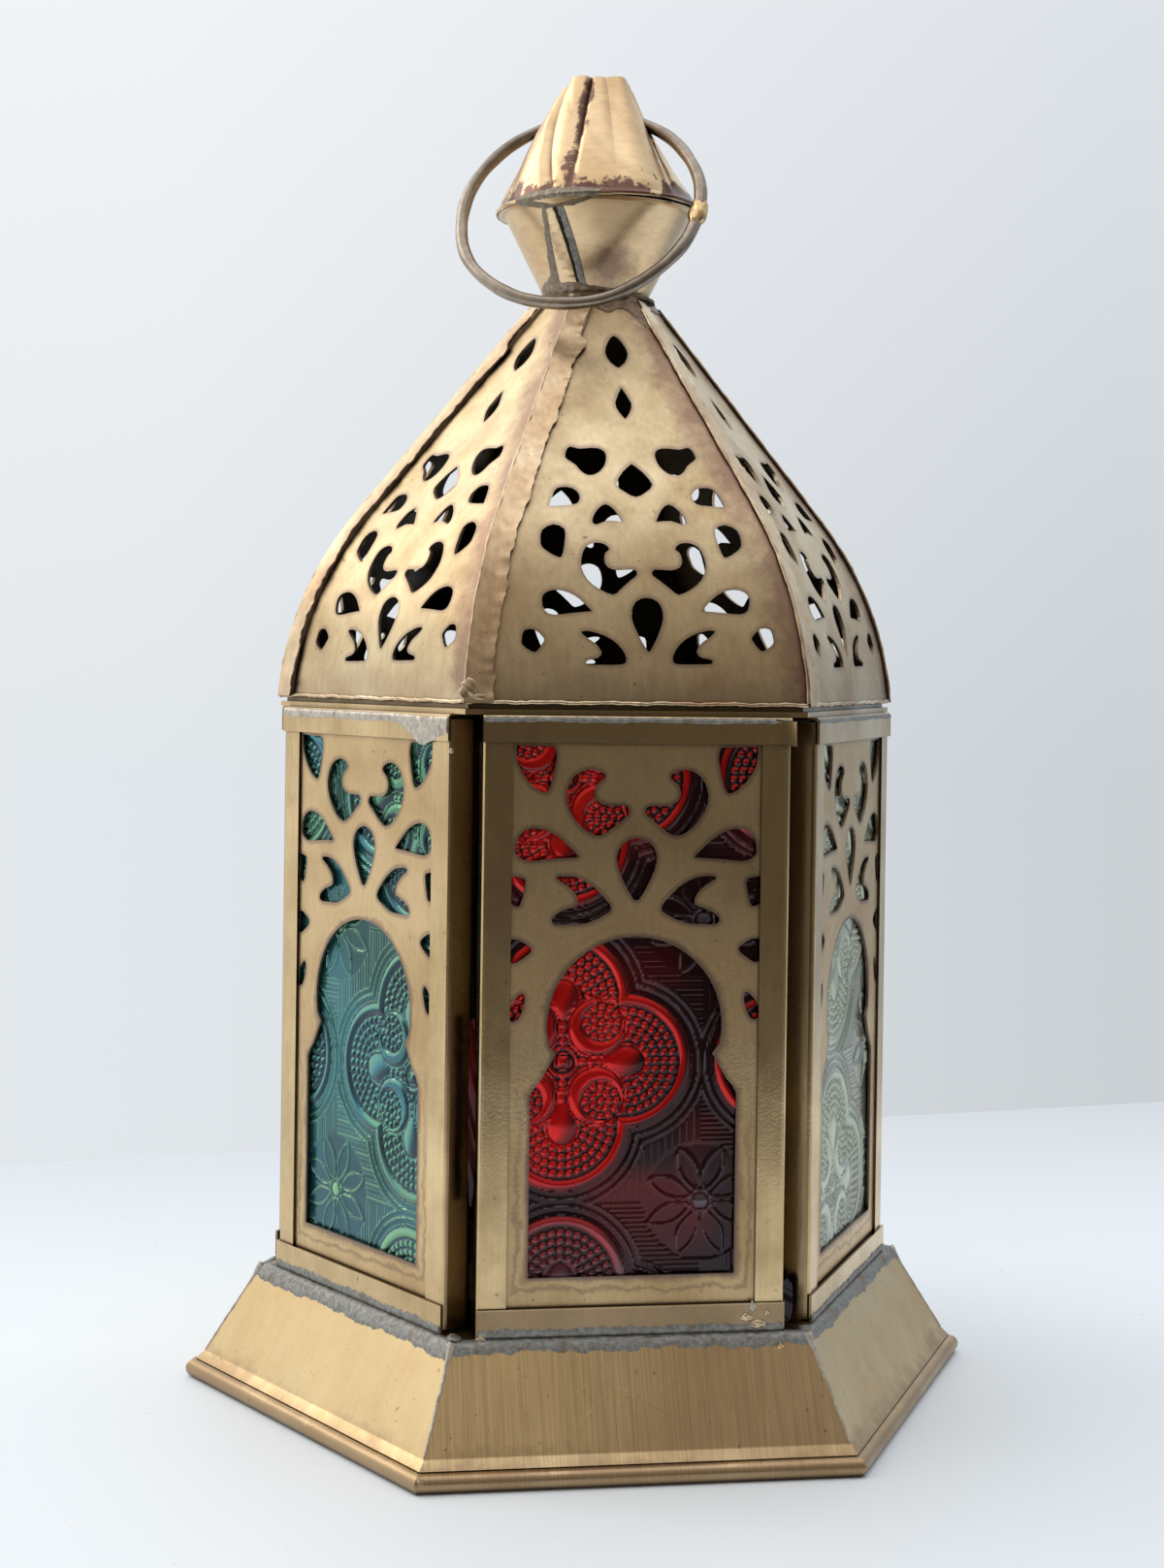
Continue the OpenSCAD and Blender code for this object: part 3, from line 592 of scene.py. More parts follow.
def window_tide(tree, place, noise):
    """How strongly the tide mark round the window shows."""
    across = add_node(tree, "Math", {0: place.outputs["Across"]}, operation="ABSOLUTE")
    rise = add_node(tree, "Math", {0: place.outputs["Up"], 1: ARCH_MIDDLE}, operation="SUBTRACT")
    pair = add_node(tree, "CombineXYZ", {0: place.outputs["Across"], 1: rise})
    reach = add_node(tree, "VectorMath", {0: pair}, operation="LENGTH")
    from_arch = add_node(tree, "Math", {0: reach.outputs["Value"], 1: ARCH_RADIUS}, operation="SUBTRACT")
    beside = add_node(tree, "Math", {0: across, 1: WINDOW_HALF}, operation="SUBTRACT")
    middle = (SHOULDER_UP + WINDOW_FOOT) / 2
    lift = add_node(tree, "Math", {0: place.outputs["Up"], 1: middle}, operation="SUBTRACT")
    lifted = add_node(tree, "Math", {0: lift}, operation="ABSOLUTE")
    half_tall = (SHOULDER_UP - WINDOW_FOOT) / 2
    above = add_node(tree, "Math", {0: lifted, 1: half_tall}, operation="SUBTRACT")
    from_box = add_node(tree, "Math", {0: beside, 1: above}, operation="MAXIMUM")
    away = add_node(tree, "Math", {0: from_arch, 1: from_box}, operation="MINIMUM")
    stray = add_node(tree, "Math", {0: noise, 1: -5.0, 2: 2.5}, operation="MULTIPLY_ADD")
    wavy = add_node(tree, "Math", {0: away, 1: stray}, operation="ADD")
    off = add_node(tree, "Math", {0: wavy, 1: TIDE_AWAY}, operation="SUBTRACT")
    near = add_node(tree, "Math", {0: off}, operation="ABSOLUTE")
    band = add_node(tree, "MapRange", {0: near, 1: 0.12, 2: 0.5, 3: 0.45, 4: 0.0})
    edge = add_node(tree, "MapRange", {0: wavy, 1: 0.2, 2: 1.1, 3: 0.5, 4: 0.0})
    low = add_node(tree, "MapRange", {0: place.outputs["Up"], 1: 34.0, 2: 60.0, 3: 1.0, 4: 0.15})
    marked = add_node(tree, "Math", {0: band, 1: low}, operation="MULTIPLY")
    return add_node(tree, "Math", {0: marked, 1: edge}, operation="MAXIMUM")


print("Window height in mm:", round(ARCH_MIDDLE + ARCH_RADIUS - WINDOW_FOOT, 1))

# %% [markdown]
# ### Stains on the base, the rail and the roof
#
# Other pieces have stained areas of their own. Each is a distance from an edge of the piece,
# made ragged by the same noise as the blots: the cove at the foot of the skirt, the front
# bottom rail, and the right hip and the foot of each roof sheet, which soldering heat has
# flushed a rosy brown. Heights are in mm from the table.

# %% Stains of the skirt, rail and roof
def skirt_foot(tree, place, noise):
    """A stain along the cove at the foot of the skirt, ragged upward."""
    ragged = add_node(tree, "Math", {0: noise, 1: 9.0, 2: 0.6}, operation="MULTIPLY_ADD")
    top = add_node(tree, "Math", {0: ragged, 1: place.outputs["Up"]}, operation="SUBTRACT")
    near = add_node(tree, "MapRange", {0: top, 1: -0.3, 2: 2.2, 3: 0.0, 4: 0.45})
    above_bead = add_node(tree, "MapRange", {0: place.outputs["Up"], 1: 2.8, 2: 3.4, 3: 1.15, 4: 1.0})
    foot = add_node(tree, "Math", {0: near, 1: above_bead}, operation="MULTIPLY")
    # The front is duller towards its right end
    front = by_side(tree, place, 0.34, 0.0)
    right = add_node(tree, "MapRange", {0: place.outputs["Across"], 1: -16.0, 2: 8.0})
    dull = add_node(tree, "Math", {0: front, 1: right}, operation="MULTIPLY")
    return add_node(tree, "Math", {0: foot, 1: dull}, operation="MAXIMUM")


def rail_dull(tree, place, noise):
    """The front bottom rail and its foot are duller than the rest of the frame."""
    low = add_node(tree, "MapRange", {0: place.outputs["Up"], 1: 22.8, 2: 23.3, 3: 0.75, 4: 0.0})
    front = by_side(tree, place, 1.0, 0.15)
    return add_node(tree, "Math", {0: low, 1: front}, operation="MULTIPLY")


# Half a side of the hexagon is this share of its distance from the axis
TAN_30 = math.tan(math.pi / 6)


def roof_flush(tree, place, noise):
    """A rosy brown flush along each right hip and along the foot of the roof."""
    reach = add_node(tree, "Math", {0: place.outputs["Out"], 1: TAN_30}, operation="MULTIPLY")
    away = add_node(tree, "Math", {0: reach, 1: place.outputs["Across"]}, operation="SUBTRACT")
    ragged = add_node(tree, "Math", {0: noise, 1: -14.0, 2: 7.0}, operation="MULTIPLY_ADD")
    away = add_node(tree, "Math", {0: away, 1: ragged}, operation="ADD")
    hip = add_node(tree, "MapRange", {0: away, 1: 1.0, 2: 6.0, 3: 0.75, 4: 0.0})
    rise = add_node(tree, "Math", {0: place.outputs["Up"], 1: ragged}, operation="ADD")
    foot = add_node(tree, "MapRange", {0: rise, 1: 115.5, 2: 118.5, 3: 0.22, 4: 0.0})
    return add_node(tree, "Math", {0: hip, 1: foot}, operation="MAXIMUM")


print("Made:", skirt_foot.__name__, rail_dull.__name__, roof_flush.__name__)

# %% [markdown]
# ### Stains on the finial
#
# The crown was soldered to the cup with a hot iron and plenty of flux, and the flux burnt on in
# purple-brown patches. They climb from the rim, higher on the right half, and up in the fold of
# one pleat. A soft smudge lies at the foot of the cup, where the iron rested.

# %% Stains of the finial
# The side of the finial that the camera sees, from which its other angles are counted
SEEN_FROM = -99.2
# The plane through the axis in which the stained pleat of the crown lies
STAINED_PLEAT = math.radians(SEEN_FROM - 16)
# Where the smudge on the cup lies, in mm
SMUDGE = (0.6, -10.4, 184.2)


def crown_stain(tree, place, noise):
    """Purple-brown stains that climb the crown from its rim, and a smudge at the cup's foot."""
    ragged = add_node(tree, "Math", {0: noise, 1: 21.0, 2: 187.4}, operation="MULTIPLY_ADD")
    spot = add_node(tree, "SeparateXYZ", {0: place.outputs["Whole"]})
    higher = add_node(tree, "MapRange", {0: spot, 1: -6.0, 2: 9.0, 3: 0.0, 4: 1.3})
    ragged = add_node(tree, "Math", {0: ragged, 1: higher}, operation="ADD")
    top = add_node(tree, "Math", {0: ragged, 1: place.outputs["Up"]}, operation="SUBTRACT")
    near = add_node(tree, "MapRange", {0: top, 1: 0.0, 2: 0.8, 3: 0.0, 4: 0.9})
    above_rim = add_node(tree, "MapRange", {0: place.outputs["Up"], 1: 195.6, 2: 196.0})
    climbs = add_node(tree, "Math", {0: near, 1: above_rim}, operation="MULTIPLY")
    # The same stain runs up in the fold of one pleat, broken higher up
    beside = (math.sin(STAINED_PLEAT), -math.cos(STAINED_PLEAT), 0.0)
    away = add_node(tree, "VectorMath", {0: place.outputs["Whole"], 1: beside}, operation="DOT_PRODUCT")
    off = add_node(tree, "Math", {0: away.outputs["Value"]}, operation="ABSOLUTE")
    wide = add_node(tree, "MapRange", {0: place.outputs["Up"], 1: 195.0, 2: 214.0, 3: 2.7, 4: 1.7})
    broken = add_node(tree, "Math", {0: noise, 1: 10.0, 2: -6.0}, operation="MULTIPLY_ADD")
    wide = add_node(tree, "Math", {0: wide, 1: broken}, operation="ADD")
    off = add_node(tree, "Math", {0: wide, 1: off}, operation="SUBTRACT")
    fold = add_node(tree, "MapRange", {0: off, 1: 0.1, 2: 0.7, 3: 0.0, 4: 0.85})
    front = add_node(tree, "Math", {0: spot.outputs[1], 1: -1.0}, operation="LESS_THAN")
    fold = add_node(tree, "Math", {0: fold, 1: front}, operation="MULTIPLY")
    fold = add_node(tree, "Math", {0: fold, 1: above_rim}, operation="MULTIPLY")
    climbs = add_node(tree, "Math", {0: climbs, 1: fold}, operation="MAXIMUM")
    reach = add_node(tree, "VectorMath", {0: place.outputs["Whole"], 1: SMUDGE}, operation="DISTANCE")
    cloud = add_node(tree, "Math", {0: noise, 1: -9.0, 2: reach.outputs["Value"]}, operation="MULTIPLY_ADD")
    smudge = add_node(tree, "MapRange", {0: cloud, 1: -2.4, 2: 1.4, 3: 0.66, 4: 0.0})
    return add_node(tree, "Math", {0: climbs, 1: smudge}, operation="MAXIMUM")


print("Stained pleat at degrees:", round(math.degrees(STAINED_PLEAT), 1))

# %% [markdown]
# ### The eight brasses of the lantern
#
# The skirt is brushed up and down and stays the brightest. The folded channels have been rubbed
# smooth, and painted shade blackens the grooves between them and their side webs. The pierced
# plates and the roof sheets are rougher, with a brown line round each hole. The finial was
# rolled, so its marks run round it. The lapped seams are rubbed bright, the inside is darkened
# with soot and painted shade, and the ring is browner wire.

# %% Brass finishes
skirt_brass = brass("brushed brass sheet, skirt", "#dfc596", "#cdb081", "#75594f", (0.30, 30.0, 14.0),
                    stain_share=0.08, roughness=0.32, brush_depth=0.17, mask=skirt_foot, front_only=0.2,
                    front_shade_factor=0.93)
# The channels take painted shade in the deep grooves between them and on their side webs
frame_brass = brass("folded brass sheet, channels", "#dcc194", "#bda276", "#7a6550", (0.6, 0.6, 8.0),
                    stain_share=0.30, roughness=0.22, brush_depth=0.06, mask=rail_dull, groove_shade=0.96,
                    folds=0.62)
pierced_brass = brass("pierced brass sheet, window plates", "#d6ba8e", "#bfa277", "#776150",
                      (0.7, 0.7, 5.0), stain_share=0.24, roughness=0.37, brush_depth=0.05,
                      mask=window_tide, outline=0.9, sand=0.30, front_shade_factor=0.95)
roof_brass = brass("pierced brass sheet, roof", "#dcc8a2", "#bba27b", "#8c6c5f", (0.8, 0.8, 6.0),
                   stain_share=0.36, roughness=0.36, brush_depth=0.07, mask=roof_flush, dents=0.9,
                   outline=0.6, sand=0.20)
finial_brass = brass("rolled brass sheet, finial", "#e5c9a0", "#cfae84", "#5e4042", (3.0, 3.0, 0.7),
                     stain_share=0.22, roughness=0.30, brush_depth=0.07, mask=crown_stain, dents=0.7)
seam_brass = brass("lapped brass seam, rubbed", "#e6cfaa", "#cba985", "#94735f", (1.0, 1.0, 5.0),
                   stain_share=0.42, roughness=0.34, brush_depth=0.14, inside_shade=0.0)
# A darker brass for the pieces inside: soot and painted shade
inner_brass = brass("brass inside, soot and painted shade", "#857357", "#655540", "#3b3028", (2.0, 2.0, 2.0),
                    stain_share=0.5, roughness=0.5, brush_depth=0.15)
wire_brass = brass("brown brass wire, ring", "#a99d8f", "#83786b", "#675d54", (1.2, 1.2, 1.2),
                   stain_share=0.35, roughness=0.34, brush_depth=0.14, inside_shade=0.0)
print("Materials so far:", len(bpy.data.materials))

# %% [markdown]
# ## Solder
#
# The seams are filled with tin-lead solder, run on with an iron. It freezes in soft lumps and
# weathers to a matt grey, lighter where it has been scraped and brown where flux was left on
# it. One noise gives the lumps and the mottled grey, and a broader one the brown.

# %% Solder material
def make_solder(name, dark, light, roughness):
    """Weathered solder in a dark and a light grey, with patches of brown flux."""
    material, tree = new_material(name)
    whole = add_node(tree, "Group", node_tree=panel_place).outputs["Whole"]
    mottle = add_node(tree, "TexNoise", {"Vector": whole, "Scale": 1.3, "Detail": 4.0, "Roughness": 0.6})
    ramp = add_node(tree, "ValToRGB", {0: mottle})
    ramp.color_ramp.elements[0].position = 0.30
    ramp.color_ramp.elements[0].color = linear(dark)
    ramp.color_ramp.elements[1].position = 0.72
    ramp.color_ramp.elements[1].color = linear(light)
    brown = add_node(tree, "TexNoise", {"Vector": whole, "Scale": 0.35, "Detail": 4.0})
    rusty = add_node(tree, "MapRange", {0: brown, 1: 0.56, 2: 0.72, 4: 0.65})
    flux = add_node(tree, "MixRGB", {0: rusty, 1: ramp, 2: linear("#7a6750")})
    lumps = add_node(tree, "Bump", {"Height": mottle, "Strength": 0.45, "Distance": 0.30 * MM})
    shader = add_node(tree, "BsdfPrincipled", {
        "Base Color": flux, "Metallic": 0.7, "Roughness": roughness, "Normal": lumps,
    })
    add_node(tree, "OutputMaterial", {0: shader})
    return material


solder = make_solder("tin-lead solder, weathered", "#74736e", "#a3a39f", 0.5)
bright_solder = make_solder("tin-lead solder, scraped", "#a29a8e", "#d8cfc1", 0.36)
print("Material:", solder.name)

# %% [markdown]
# ## Formulas for metal that was laid by hand
#
# Solder and thin sheet follow the surface they lie on, with edges that wander. The wandering is
# a sum of sines: smooth, hardly ever repeating, and the same on every run. Frozen solder swells
# from both edges of a run, and a ridge or a smooth step marks one place.

# %% Wander, step, ridge and dome
SIDES = ["front", "front_right", "back_right", "back", "back_left", "front_left"]
BACK = SIDES.index("back")
FRONT_LEFT = SIDES.index("front_left")
WAVES = 5


def wander(t, seed):
    """A smooth wandering value between about -1 and 1 that is the same on every run."""
    t = np.asarray(t, dtype=float)
    total = np.zeros_like(t)
    for k in range(1, WAVES + 1):
        total += np.sin(t * k * (1.7 + 0.31 * k) + seed * (2.3 + k) + 1.1 * k) / k ** 0.8
    return total / 2.2


def step(value, start, end):
    """0 before start, 1 after end and smooth between."""
    t = np.clip((value - start) / (end - start), 0, 1)
    return t * t * (3 - 2 * t)


def ridge(distance, width):
    """A rounded ridge: 1 where distance is zero, and next to nothing two widths away."""
    return np.exp(-((distance / width) ** 2))


def domed(share):
    """How far a run of solder has swollen, at a share of its width: 0 at both edges, 1 inside."""
    return np.sqrt(np.clip(1 - (2 * share - 1) ** 6, 0, 1))


print("Wander at 0, 1, 2:", np.round(wander([0, 1, 2], 3), 2))

# %% [markdown]
# ### Laid sheets
#
# A laid sheet starts as a grid whose points are laid where a formula says: its first number
# runs along the piece and its second across it. A Solidify modifier then gives the sheet its
# thickness, into the metal, so that the outer face is the one the formula drew.

# %% Laid sheets
def laid_sheet(name, surface, along, across, sheet, closed=False, smooth=50):
    """A sheet laid on surface(u, v), which gives points in mm for u and v between 0 and 1. closed
    joins its two ends, sheet is its thickness in mm, and smooth the sharpest smooth edge."""
    bpy.ops.object.select_all(action="DESELECT")
    bpy.ops.mesh.primitive_grid_add(x_subdivisions=along, y_subdivisions=across, size=1)
    piece = bpy.context.object
    piece.name = name
    flat = np.zeros(len(piece.data.vertices) * 3)
    piece.data.vertices.foreach_get("co", flat)
    flat = flat.reshape(-1, 3) + 0.5
    points = np.stack(surface(flat[:, 0], flat[:, 1]), axis=1)
    piece.data.vertices.foreach_set("co", (points * MM).ravel())
    if closed:
        merge_doubles(piece, 0.005)
    wall = piece.modifiers.new("sheet", "SOLIDIFY")
    wall.thickness = sheet * MM
    wall.offset = -1
    apply_modifier(piece, wall)
    bpy.ops.object.shade_smooth_by_angle(angle=math.radians(smooth))
    return piece


def finished(piece, material, slot, body="lantern"):
    """Gives a piece its finish and the body it moves with. slot is not used."""
    piece.data.materials.clear()
    piece.data.materials.append(material)
    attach(piece, body)
    return piece


print("Made:", laid_sheet.__name__, "and", finished.__name__)

# %% [markdown]
# ### Threads
#
# A thread of solder in a crease is a curve with a round section whose radius changes from point
# to point. It is turned to mesh at once, because only a mesh carries its place in its points.

# %% Threads
def thread(name, points, radii):
    """A thread of metal through the given points in mm, as thick at each as its radius says."""
    bpy.ops.object.select_all(action="DESELECT")
    bpy.ops.curve.primitive_nurbs_path_add()
    piece = bpy.context.object
    piece.name = name
    curve = piece.data
    curve.splines.clear()
    spline = curve.splines.new("POLY")
    spline.points.add(len(points) - 1)
    for spot, place, radius in zip(spline.points, points, radii):
        spot.co = (*(Vector(place) * MM), 1)
        spot.radius = radius
    curve.bevel_depth = 1.0 * MM
    curve.bevel_resolution = 3
    curve.use_fill_caps = True
    only(piece)
    bpy.ops.object.convert(target="MESH")
    bpy.ops.object.shade_smooth_by_angle(angle=math.radians(50))
    return piece


print("Made:", thread.__name__)

# %% [markdown]
# ## The crown of the finial
#
# The crown is a cone of thin brass that was gathered into lobes with a pair of pliers. Two
# narrow pleats stand close together in front, a soft valley lies beside them, and each pleat
# leans a little. Lobe and pleat are easiest to draw as a formula of the angle and the height:
# grid lines follow the pleats, a lobe swells between two of them, and each pleat is a groove
# that deepens upward. The foot turns down over the cup's rim as a thin lip. Four dents, each
# round one angle, give it the uneven look of hand work.

# %% Crown shape
RIM_Z = 195.35
RIM_RADIUS = 16.8
CROWN_HEIGHT = 22.2
CROWN_FOOT_RISE = 0.35
CROWN_TOP_RADIUS = 4.9
CROWN_SHEET = 0.45
# Each pleat's angle from the camera's side at the rim and at the top, depth at both, and width
PLEATS = [
    (-66, -92, 0.35, 0.8, 0.6),
    (-27, -66, 0.7, 1.2, 0.6),
    (-16, -17, 0.35, 0.8, 0.5),
    (12, 16, 0.0, 0.45, 1.6),
    (52, 76, 0.55, 0.9, 0.6),
    (104, 116, 0.3, 0.8, 0.8),
    (158, 165, 0.3, 0.8, 0.7),
    (209, 214, 0.3, 0.8, 0.8),
    (255, 238, 0.3, 0.7, 0.7),
]
LOBE_SWELL = 0.75
# The share of the grid that the lip takes, and how far it hangs down
LIP_SHARE = 0.14
LIP_DROP = 0.50
RIM_TILT = 0.5
# Each dent's angle from the camera's side, its width in degrees and its depth in mm
LIP_DENT = (-23, 13, 1.1)
LEFT_BULGE = (-80, 34, 1.9)
RIGHT_HOLLOW = (82, 34, 1.3)
TOP_DENT = (-84, 26, 1.2)


def dented(angle, dent):
    """How deep a dent is at an angle."""
    middle, width, depth = dent
    return depth * ridge(angle - middle, width)


def crown_surface(u, v):
    """The crown's skin: u runs round it from pleat to pleat and v from the lip to the top."""
    count = len(PLEATS)
    place = np.clip(u * count, 0, count - 1e-9)
    number = place.astype(int)
    t = place - number
    table = np.array(PLEATS + [(PLEATS[0][0] + 360, PLEATS[0][1] + 360) + PLEATS[0][2:]])
    s = np.clip((v - LIP_SHARE) / (1 - LIP_SHARE), 0, 1)
    low = table[number]
    high = table[number + 1]
    angle_low = low[:, 0] + (low[:, 1] - low[:, 0]) * s
    angle_high = high[:, 0] + (high[:, 1] - high[:, 0]) * s
    angle = angle_low + (angle_high - angle_low) * t
    cone = RIM_RADIUS - (RIM_RADIUS - CROWN_TOP_RADIUS) * s
    lobe = np.sin(math.pi * t) ** 0.8
    span = np.radians(angle_high - angle_low) * cone
    swell = LOBE_SWELL * lobe * np.minimum(span / 9, 1) * (0.25 + 0.75 * s)
    groove = np.zeros_like(u)
    for edge, away in ((low, t), (high, 1 - t)):
        depth = edge[:, 2] + (edge[:, 3] - edge[:, 2]) * s
        groove = np.maximum(groove, depth * ridge(away * span, edge[:, 4]))
    lip = np.clip(v / LIP_SHARE, 0, 1)
    above = s * (CROWN_HEIGHT - CROWN_FOOT_RISE + 0.3 * lobe * (span > 4)) + CROWN_FOOT_RISE
    lip_drop = LIP_DROP + dented(angle, LIP_DENT) + 0.12 * wander(np.radians(angle) * 3, 4)
    z = np.where(s > 0, above, CROWN_FOOT_RISE * lip - lip_drop * (1 - lip))
    z = z + RIM_TILT * (1 + np.sin(np.radians(angle))) * (1 - s)
    z = z - dented(angle, TOP_DENT) * s
    lip_out = np.interp(lip, [0, 0.3, 0.75, 1], [0.28, 0.42, 0.42, 0.0])
    left_bulge = dented(angle, LEFT_BULGE) * s * (1.25 - 0.6 * s)
    right_hollow = dented(angle, RIGHT_HOLLOW) * np.sin(math.pi * s)
    folds = (swell - groove) * (lip >= 1) * np.clip(s * 14, 0, 1)
    radius = cone + folds + lip_out + left_bulge - right_hollow
    radius += 0.10 * wander(np.radians(angle) * 2 + s * 3, 7) * (lip >= 1)
    around = np.radians(angle + SEEN_FROM)
    return radius * np.cos(around), radius * np.sin(around), RIM_Z + z


print("Pleats:", len(PLEATS))

# %% [markdown]
# ### Drilling the crown
#
# The crown is laid on that formula, and its two holes for the ring are cut with one long drill,
# a cylinder that goes right through it. The crown takes the place of the plain CAD cone.

# %% Crown
# How high the holes lie above the rim, how wide they are and how the line through them is turned
RING_HOLE_RISE = 13.6
RING_HOLE_RADIUS = 2.3
RING_TURN = math.radians(-22)


def make_crown():
    """The pleated crown with its two holes."""
    crown = laid_sheet("finial_crown_pleated", crown_surface, len(PLEATS) * 16, 44, CROWN_SHEET,
                       closed=True, smooth=60)
    bpy.ops.object.select_all(action="DESELECT")
    bpy.ops.mesh.primitive_cylinder_add(
        vertices=32, radius=RING_HOLE_RADIUS * MM, depth=60 * MM,
        location=(0, 0, (RIM_Z + RING_HOLE_RISE) * MM), rotation=(0, math.pi / 2, RING_TURN),
    )
    drill = bpy.context.object
    cut = crown.modifiers.new("ring holes", "BOOLEAN")
    cut.operation = "DIFFERENCE"
    cut.solver = "EXACT"
    cut.object = drill
    apply_modifier(crown, cut)
    bpy.data.objects.remove(drill)
    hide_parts("finial_crown")
    return finished(crown, finial_brass, "finial_brass")


crown = make_crown()
print("Crown triangles:", triangles(crown))

# %% [markdown]
# ## The carrying ring
#
# The ring is a piece of drawn brass wire, bent round by hand and closed with a lump of braze.
# A torus gives the round, and a little wandering of its radius and thickness makes it
# hand-bent. It hangs in the two holes of the crown and leans towards the viewer.

# %% Ring
RING_RADIUS = 20.1
WIRE_RADIUS = 1.05
RING_LEAN = math.radians(-30.3)
RING_DROP = 17.74
# The holes are wider than the wire, so the ring hangs a little to the left in them
RING_PLAY = Vector((-0.95, 0.1, 0.95)) * MM
RING_HANGS_AT = Vector((0, 0, (RIM_Z + RING_HOLE_RISE) * MM)) + RING_PLAY
RING_PLACE = (
    Matrix.Translation(RING_HANGS_AT) @ Matrix.Rotation(RING_TURN, 4, "Z")
    @ Matrix.Rotation(RING_LEAN, 4, "X") @ Matrix.Translation((0, 0, -RING_DROP * MM))
    @ Matrix.Rotation(math.pi / 2, 4, "X")
)


def make_ring():
    """The wire ring, a torus made uneven, hung in its place."""
    bpy.ops.object.select_all(action="DESELECT")
    bpy.ops.mesh.primitive_torus_add(major_segments=180, minor_segments=14,
                                     major_radius=RING_RADIUS * MM, minor_radius=WIRE_RADIUS * MM)
    ring = bpy.context.object
    ring.name = "ring_wire_bent"
    for v in ring.data.vertices:
        turn = math.atan2(v.co.y, v.co.x)
        middle = Vector((math.cos(turn), math.sin(turn), 0)) * RING_RADIUS * MM
        # Each sine has a whole number of waves, so the ring closes
        out = 0.14 * math.sin(2 * turn + 0.6) + 0.08 * math.sin(5 * turn + 2.0) + 0.05 * math.sin(9 * turn)
        side = 0.12 * math.sin(3 * turn + 1.0) + 0.06 * math.sin(7 * turn + 0.5)
        thick = 1 + 0.035 * math.sin(11 * turn) + 0.03 * math.sin(4 * turn + 2) + 0.02 * math.sin(23 * turn)
        v.co = middle + (v.co - middle) * thick + middle.normalized() * out * MM + Vector((0, 0, side * MM))
    ring.matrix_world = RING_PLACE
    settle(ring)
    bpy.ops.object.shade_smooth()
    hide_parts("ring_handle")
    return finished(ring, wire_brass, "ring_wire", "carrying_ring")


ring = make_ring()
print("Ring triangles:", triangles(ring))

# %% [markdown]
# ### The braze
#
# The ends of the wire were joined with a drop of golden braze. It is a sphere drawn out along
# the wire, bent as the ring is and made uneven by a few waves.

# %% Braze
# Where its middle lies along the wire, half its length and half its thickness, in mm
BRAZE_AT = -1.9
BRAZE_HALF = 3.6
BRAZE_OUT = 1.45
BRAZE_UP = 1.4


def make_braze():
    """The gold lump that closes the ring, drawn out along the wire."""
    bpy.ops.object.select_all(action="DESELECT")
    bpy.ops.mesh.primitive_uv_sphere_add(segments=28, ring_count=18, radius=1 * MM,
                                         rotation=(math.pi / 2, 0, 0))
    lump = bpy.context.object
    lump.name = "ring_braze"
    settle(lump)
    for v in lump.data.vertices:
        p = v.co / MM
        lumps = 0.16 * math.sin(3.1 * p.y + 1.0) * math.cos(2.2 * p.z)
        knob = 1 + lumps + 0.10 * math.sin(6 * p.y + 4 * p.x)
        along = BRAZE_AT + p.y * BRAZE_HALF
        middle = math.sqrt(RING_RADIUS ** 2 - along ** 2)
        v.co = Vector((middle + p.x * BRAZE_OUT * knob + 0.12, along, p.z * BRAZE_UP * knob)) * MM
    lump.matrix_world = RING_PLACE
    settle(lump)
    bpy.ops.object.shade_smooth()
    return finished(lump, braze_brass, "ring_wire", "carrying_ring")


braze_brass = brass("braze, golden", "#d6b98a", "#a5865a", "#5a4636", (0.6, 0.6, 0.6),
                    stain_share=0.35, roughness=0.24, brush_depth=0.2)
braze = make_braze()
print("Braze triangles:", triangles(braze))

# %% [markdown]
# ## The roof sheets
#
# Each roof sheet is bent over a form, so its curve is even. The CAD node shows that curve as a
# few flat strips. A copy of the node is merged into one skin here, and its shading is told the
# true direction of the curve at each corner, as a normal worked out from the height. Averaging
# the neighbouring faces would not do, because between the holes the triangles are long and thin.

# %% Roof sheets
ROOF_FOOT = 113.1
ROOF_TOP = 180.15
ROOF_BEND_TOP = 144.1
ROOF_FOOT_OUT = 45.2
ROOF_BEND_RADIUS = 61.0
LEAN_LOW = math.radians(4)
LEAN_HIGH = math.radians(35.3)
# A corner of a face whose flat normal is this like the curve's own takes the curve's
ON_THE_CURVE = 0.96


def roof_lean(up):
    """The roof's lean from upright at a height in mm."""
    bend = np.arcsin(np.clip(math.sin(LEAN_LOW) + (up - ROOF_FOOT) / ROOF_BEND_RADIUS, 0, 0.9))
    return np.where(up < ROOF_BEND_TOP, np.minimum(bend, LEAN_HIGH), LEAN_HIGH)


def roof_out(up):
    """How far out the roof is at a height in mm."""
    bend_end = ROOF_FOOT_OUT - ROOF_BEND_RADIUS * (math.cos(LEAN_LOW) - math.cos(LEAN_HIGH))
    bent = ROOF_FOOT_OUT - ROOF_BEND_RADIUS * (math.cos(LEAN_LOW) - np.cos(roof_lean(up)))
    return np.where(up < ROOF_BEND_TOP, bent, bend_end - (up - ROOF_BEND_TOP) * math.tan(LEAN_HIGH))


def roof_shading(mesh, side):
    """The normal of each face corner: the curve's own on both skins, the face's on cut edges."""
    turn = side * SIXTH
    normals = []
    for face in mesh.polygons:
        for index in face.vertices:
            lean = float(roof_lean(np.array(mesh.vertices[index].co.z / MM)))
            level = math.cos(lean)
            true = Vector((math.sin(turn) * level, -math.cos(turn) * level, math.sin(lean)))
            likeness = face.normal.dot(true)
            if likeness > ON_THE_CURVE:
                normals.append(true)
            elif likeness < -ON_THE_CURVE:
                normals.append(-true)
            else:
                normals.append(face.normal.copy())
    return normals


